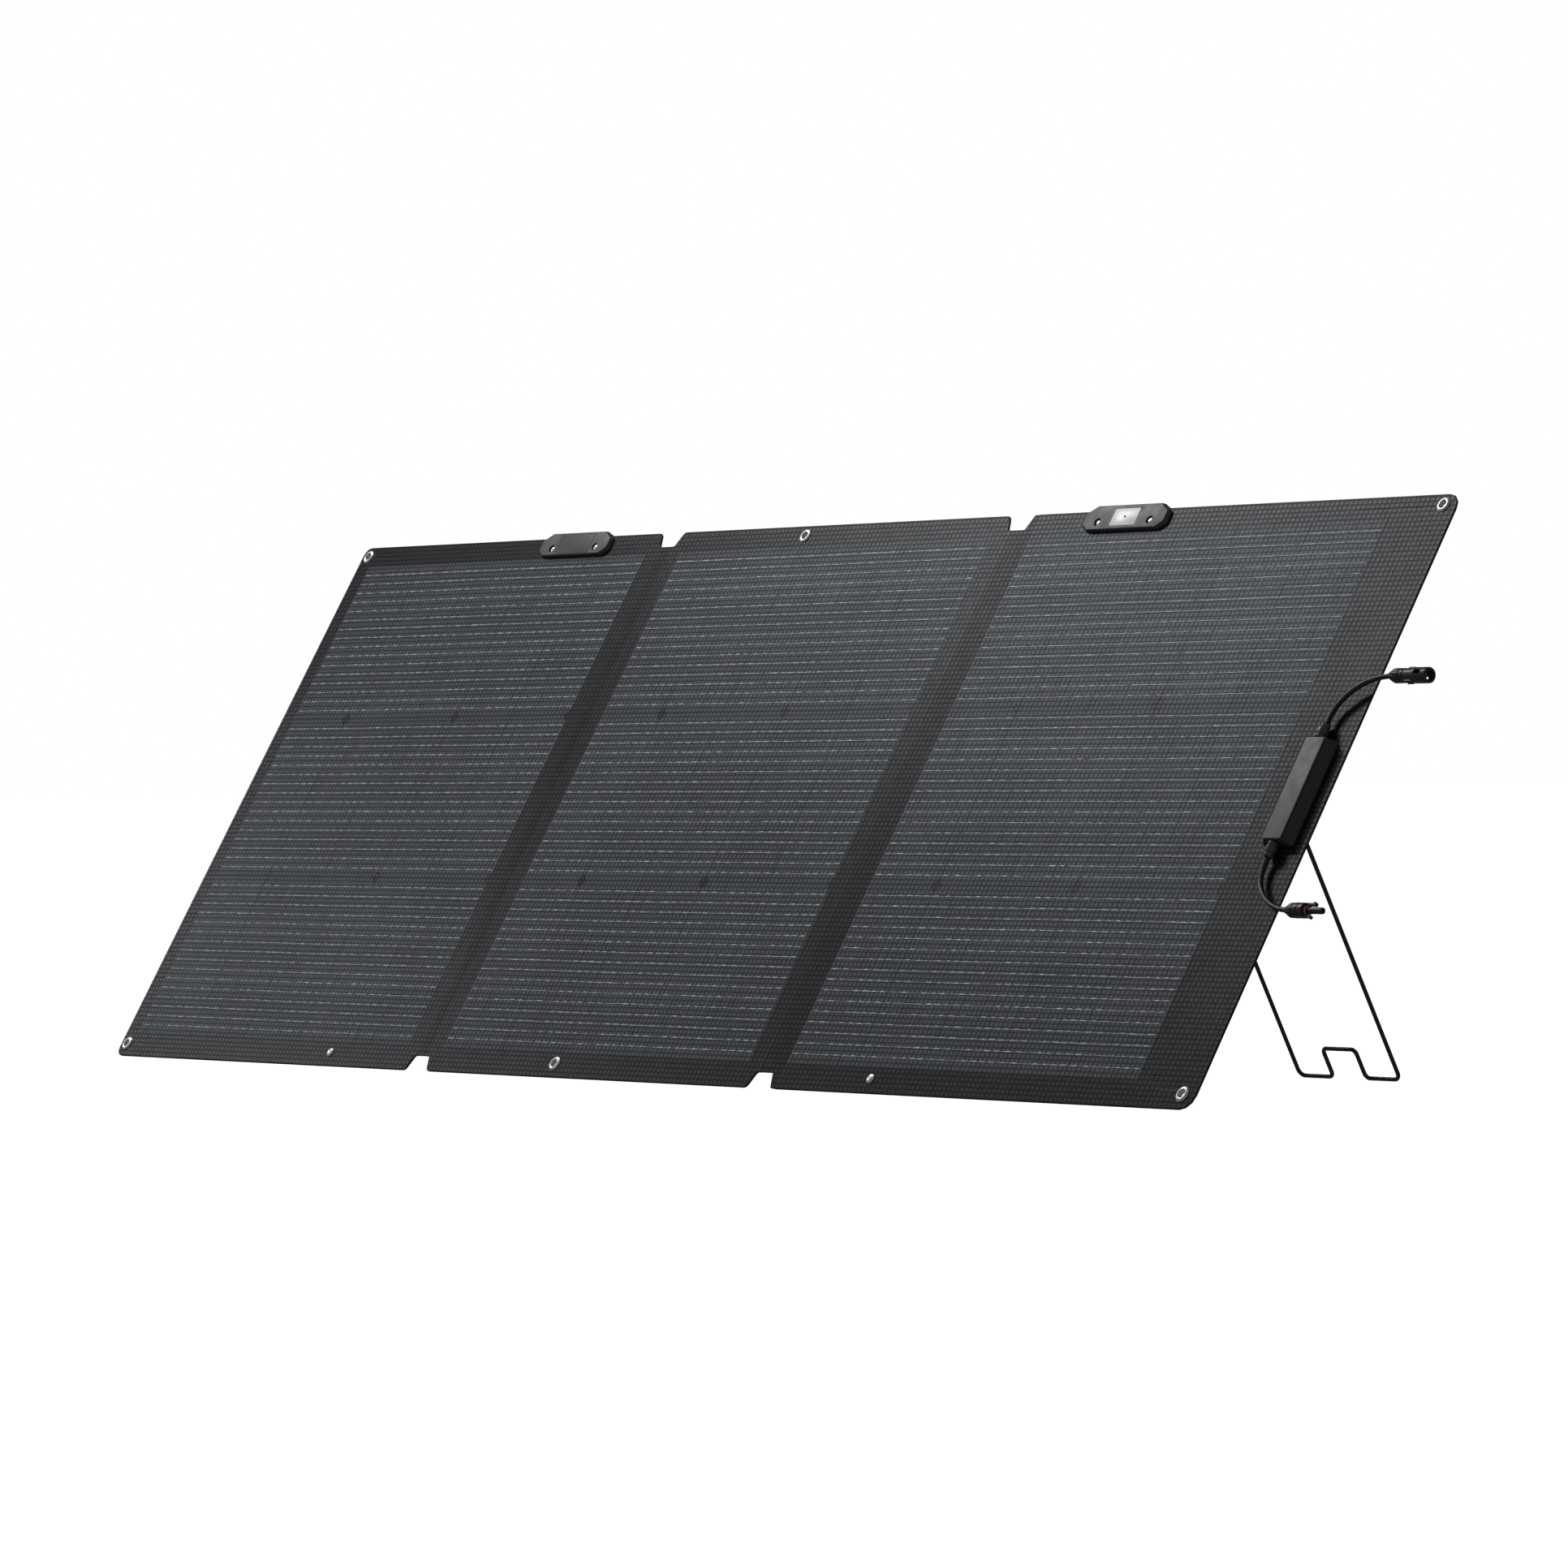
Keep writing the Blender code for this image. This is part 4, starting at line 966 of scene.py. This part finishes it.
def clip_ring(inset, w):
    """A clip's outline at a height: a rectangle with cut and softened corners."""
    x, y = CLIP_HALF_U - inset[0], CLIP_HALF_V - inset[1]
    low_x, low_y, high_x, high_y = 0.010, 0.007, 0.014, 0.009
    corners = [(-x + low_x, -y), (x - low_x, -y), (x, -y + low_y), (x, y - high_y),
               (x - high_x, y), (-x + high_x, y), (-x, y - high_y), (-x, -y + low_y)]
    return [Vector((p.x, p.y, w)) for p in fillet([((u, v, 0), 0.002) for u, v in corners], steps=3)]


def clip_half(height, draft, cutters):
    """Half of an edge clip about its own centre, standing on w = 0, with a lip over the edge."""
    rings = [clip_ring((0.0002, 0.0002), 0.0), clip_ring((0, 0), 0.0003)]
    for share in (0.35, 0.7):
        rings.append(clip_ring((draft[0] * share ** 1.6, draft[1] * share ** 1.6), height * share))
    for k in range(5):
        turn = math.pi / 2 * k / 4
        out = CLIP_ROUND * (1 - math.cos(turn))
        rings.append(clip_ring((draft[0] * 0.93 + out, draft[1] * 0.93 + out),
                               height - CLIP_ROUND + CLIP_ROUND * math.sin(turn)))
    lip_low = HEIGHT + GAP - CLIP_V
    depth = GAP / 2 + THICKNESS / 2
    lip = block((0.099, CLIP_LIP_V - lip_low, depth + 0.001),
                (0, (lip_low + CLIP_LIP_V) / 2, (0.001 - depth) / 2))
    return carved(loft(rings), cutters, [lip])


def make_clips():
    """Two-part edge clips over the top edge, with countersunk rivets."""
    v = CLIP_RIVET_V - CLIP_V
    floor = CLIP_HEIGHT - POCKET_DEPTH
    sink = [(0, -0.001), (RIVET_HOLE, -0.001), (RIVET_HOLE, 0.0016), (0.0042, 0.0016), (0.0042, 0.0037),
            (0.0047, 0.0043), (0.0047, 0.009), (0, 0.009)]
    for side, u in CLIP_U.items():
        cutters = [placed(turned(sink, 40, False), (sign * CLIP_RIVET_U, v, 0)) for sign in (-1, 1)]
        cutters.append(block((*POCKETS[side], 0.004), (0, WINDOW_V - CLIP_V, floor + 0.002)))
        piece(side + "_clip_cover", clip_half(CLIP_HEIGHT, (0.0030, 0.0006), cutters), "clip_plastic",
              side, side + "_clip_front", (u, CLIP_V, GAP))
        holes = [rod(RIVET_HOLE, 0.02, (sign * CLIP_RIVET_U, v, 0)) for sign in (-1, 1)]
        shape = clip_half(CLIP_BACK_HEIGHT, (0.0045, 0.0012), holes)
        shape.transform(Matrix.Diagonal((1, 1, -1, 1)))
        bmesh.ops.reverse_faces(shape, faces=shape.faces)
        piece(side + "_clip_backing", shape, "clip_plastic", side, side + "_clip_back", (u, CLIP_V, BACK))
    on_left, on_right = (Vector((CLIP_U[side], WINDOW_V, floor + 2 * GAP)) for side in ("left", "right"))
    plate = tile((0.0640, 0.0250), 0.0015, ((0, 0), (0.00075, 0), (0.00093, 0.00010), (0.0010, 0.00035)))
    piece("left_clip_cover_plate", plate, "plate_plastic", "left", "left_clip_plate", on_left)
    window = tile((0.0400, 0.0205), 0.0012, ((0, 0), (0.0007, 0), (0.0009, 0.0001), (0.0010, 0.0003)))
    piece("sun_guide_lens", carved(window, [rod(0.0011, 0.01, (0, 0, 0))]), "white_plastic",
          "right", "sun_guide_window", on_right)
    pin = eased([(0, 0.0022), (0.0008, 0.0019), (0.0008, 0), (0, 0)], 0.0002, False)
    piece("sun_guide_peg", turned(pin, 24, False), "black_plastic", "right", "sun_guide_pin", on_right)


# ---- junction box and its glands ----
BOX_U, BOX_V, BOX_HEIGHT = 0.9050, 0.3460, 0.0102
BOX_SIZE, BOX_CORNER = (0.0440, 0.1170), 0.0030
BOX_DRAFT_U, BOX_DRAFT_V, BOX_ROUND = 0.0075, 0.0015, 0.0005


def make_box():
    """A low drafted box with a flat lid set on its rim, and the board inside it."""
    steps = [(0.0, (0.0002, 0.0002)), (0.0004, (0, 0))]
    steps += [(BOX_HEIGHT * share, (BOX_DRAFT_U * share, BOX_DRAFT_V * share))
              for share in (0.25, 0.5, 0.75)]
    for k in range(4):
        turn = math.pi / 2 * k / 3
        out = BOX_ROUND * (1 - math.cos(turn)) * 0.6
        steps.append((BOX_HEIGHT - BOX_ROUND + BOX_ROUND * math.sin(turn), (0.0072 + out, 0.0014 + out)))
    shell = loft([boxed(BOX_SIZE, BOX_CORNER, w, inset) for w, inset in steps])
    hollow = loft([boxed((0.0404, 0.1134), 0.002, 0.0018),
                   boxed((0.0244, 0.1102), 0.002, BOX_HEIGHT + 0.001)])
    shell = carved(shell, [hollow, rod(0.0036, 0.13, (0, 0, 0.0057), (math.pi / 2, 0, 0))])
    lid = tile((0.0270, 0.1136), 0.0022, ((0, 0.0003), (0.0002, 0), (0.0010, 0), (0.00132, 0.0001),
                                          (0.00147, 0.0003), (0.0015, 0.0006)))
    board = tile((0.020, 0.084), 0.001, ((0, 0), (0.0016, 0)))
    for name, shape, material, node, w in (
            ("junction_box_shell", shell, "box_plastic", "junction_box_base", GAP),
            ("junction_box_cover", lid, "grey_plastic", "junction_box_lid", BOX_HEIGHT + 2 * GAP),
            ("bypass_board", board, "circuit_board", "diode_board", 0.0040)):
        piece(name, shape, material, "right", node, (BOX_U, BOX_V, w))


def make_glands():
    """Cable glands at the box's ends: a collar through its wall and a ribbed cap."""
    body = eased([(0.0029, 0.0075), (0.0041, 0.0075), (0.0041, 0.0032), (0.0056, 0.0032),
                  (0.0056, 0.0003), (0.0033, 0.0003), (0.0033, -0.0045), (0.0029, -0.0045)], 0.0003)
    nut = eased([(0.0029, 0.0160), (0.0040, 0.0160), (0.0049, 0.0142), (0.0051, 0.0128),
                 (0.0047, 0.0120), (0.0047, 0.0112), (0.0060, 0.0106), (0.0060, 0.0044),
                 (0.0055, 0.0035), (0.0044, 0.0035), (0.0044, 0.0082), (0.0029, 0.0092)], 0.0005)
    for end, sign in (("upper", 1), ("lower", -1)):
        cap = turned(nut, ribs=10, depth=0.0005, ribbed=(0.0048, 0.0103))
        for word, shape, node in (("collar", turned(body), "body"), ("cap", cap, "nut")):
            piece(f"{end}_gland_{word}", shape, "gland_plastic", "right", f"{end}_gland_{node}",
                  (BOX_U, BOX_V + sign * BOX_SIZE[1] / 2, 0.0060), (-sign * math.pi / 2, 0, 0))


# ---- stands ----
STAND_U = {"left": -0.5765, "middle": -0.0345, "right": 0.5745}
HINGE_DROP = 0.0050
HINGE_V, HINGE_W = 0.5560, -THICKNESS - HINGE_DROP
WIRE, LEG, SWING = 0.00225, 0.52922, math.radians(58.5)
FOOT_U, FOOT_STEP_U, FOOT_STEP = 0.0765, 0.0250, 0.0335
BARREL_U, BARREL_RADIUS, BARREL_HALF = 0.0622, 0.0045, 0.0082
STAND_RIVET_U, STAND_RIVET_V = 0.0300, 0.0110
STOP_HEIGHT = 0.0022


def leg_point(u, along):
    """A point of the stand from its hinge, measured down the leg."""
    return Vector((u, -along * math.cos(SWING), -along * math.sin(SWING)))


def stand_plate():
    """A stand's plate about its hinge: two barrels, a stop over each leg and two rivet holes."""
    top = HINGE_DROP - GAP
    shape = tile((0.1320, 0.0340), 0.005, ((top, 0.0001), (top - 0.0002, 0), (top - 0.0013, 0),
                                           (top - 0.0016, 0.0001), (top - 0.0018, 0.0004)))
    shape.transform(Matrix.Translation((0, 0.0055, 0)))
    barrel = eased([(0, -BARREL_HALF), (BARREL_RADIUS, -BARREL_HALF), (BARREL_RADIUS, BARREL_HALF),
                    (0, BARREL_HALF)], 0.0004, False)
    away = Vector((0, math.sin(SWING), -math.cos(SWING))) * (WIRE + GAP + STOP_HEIGHT / 2)
    unions, cutters = [], []
    for sign in (-1, 1):
        unions.append(placed(turned(barrel, 40, False), (sign * BARREL_U, 0, 0), ALONG))
        unions.append(block((0.0110, 0.0090, STOP_HEIGHT), leg_point(sign * 0.0745, 0.0015) + away,
                            (SWING, 0, 0)))
        cutters.append(rod(WIRE + 0.00036, 0.020, (sign * BARREL_U, 0, 0), ALONG))
        cutters.append(rod(RIVET_HOLE, 0.02, (sign * STAND_RIVET_U, STAND_RIVET_V, 0)))
    return carved(shape, cutters, unions)


def make_stands():
    """Bent wire stands, each held by a riveted plate."""
    half = [((0.0560, 0), 0), ((FOOT_U, 0), 0.006), ((FOOT_U, LEG), 0.008), ((FOOT_STEP_U, LEG), 0.006),
            ((FOOT_STEP_U, LEG - FOOT_STEP), 0.006)]
    corners = [((-u, along), radius) for (u, along), radius in half] + half[::-1]
    path = fillet([(leg_point(*at), radius) for at, radius in corners], False, 8)
    rivets = eased([(0, -0.0011), (0.0038, -0.0011), (0.0038, -0.0018), (0.0020, -0.0018),
                    (0.0020, -0.0061), (0.0040, -0.0061), (0.0037, -0.0068), (0.0024, -0.0071),
                    (0, -0.0071)], 0.0002, False)
    for side, u in STAND_U.items():
        where = Vector((u, HINGE_V, HINGE_W))
        tube(side + "_stand_bow", [where + point for point in path], WIRE, "wire_coat", side + "_stand",
             side + "_stand_wire")
        piece(side + "_stand_plate", stand_plate(), "black_plastic", side,
              side + "_stand_bracket", where)
        for word, sign in (("a", -1), ("b", 1)):
            piece(f"{side}_stand_pin_{word}", turned(rivets, 32, False), "nickel", side,
                  f"{side}_stand_rivet_{word}", (u + sign * STAND_RIVET_U, HINGE_V + STAND_RIVET_V, 0))


make_eyelets()
make_rivets()
make_clips()
make_box()
make_glands()
make_stands()


# ---- studio ----
FLOOR = (0.62, 0.62, 0.62)
LAMP_SIZE = 0.7


def make_studio():
    """A white backdrop for the camera, dim world light for the object, and a pale floor."""
    scene = bpy.context.scene
    scene.world = bpy.data.worlds.new("studio")
    scene.world.use_nodes = True
    nodes, links = scene.world.node_tree.nodes, scene.world.node_tree.links
    nodes.clear()
    out = nodes.new("ShaderNodeOutputWorld")
    mix = nodes.new("ShaderNodeMixShader")
    links.new(nodes.new("ShaderNodeLightPath").outputs["Is Camera Ray"], mix.inputs[0])
    for socket, colour, strength in ((1, (0.95, 0.97, 1.0, 1), 0.13), (2, (1, 1, 1, 1), 1.0)):
        background = nodes.new("ShaderNodeBackground")
        background.inputs["Color"].default_value = colour
        background.inputs["Strength"].default_value = strength
        links.new(background.outputs[0], mix.inputs[socket])
    links.new(mix.outputs[0], out.inputs[0])

    tree = Tree("pale_floor", FLOOR, 0.9, Emission_Color=(1, 1, 1, 1), Emission_Strength=0.975,
                Specular_IOR_Level=0.0)
    cloud = tree.noise(tree.place(), 0.4)
    tree.link("Base Color", tree.tint(FLOOR, tree.swing(cloud, 0.99, 1.01)))
    shape = bmesh.new()
    bmesh.ops.create_grid(shape, x_segments=2, y_segments=2, size=60)
    floor = bpy.data.objects.new("studio_floor", mesh_of(shape, "studio_floor"))
    floor.data.materials.append(tree.material)
    floor.location.z = -0.0006
    floor.visible_diffuse = floor.visible_glossy = False
    scene.collection.objects.link(floor)


def area_light(name, where, target, power):
    data = bpy.data.lights.new(name, "AREA")
    data.size = LAMP_SIZE
    data.energy = power
    data.color = (0.955, 0.98, 1.0)
    light = bpy.data.objects.new(name, data)
    light.location = where
    light.rotation_euler = (Vector(target) - Vector(where)).to_track_quat("-Z", "Y").to_euler()
    bpy.context.scene.collection.objects.link(light)


make_studio()
area_light("high", (-2.921, -0.750, 3.066), (0.10, -0.10, 0.60), 28.7)
area_light("low", (-4.350, -1.374, 2.037), (-0.85, -0.22, 0.09), 13.3)
area_light("over", (-1.869, -0.672, 3.194), (0.80, -0.08, 0.59), 13.9)
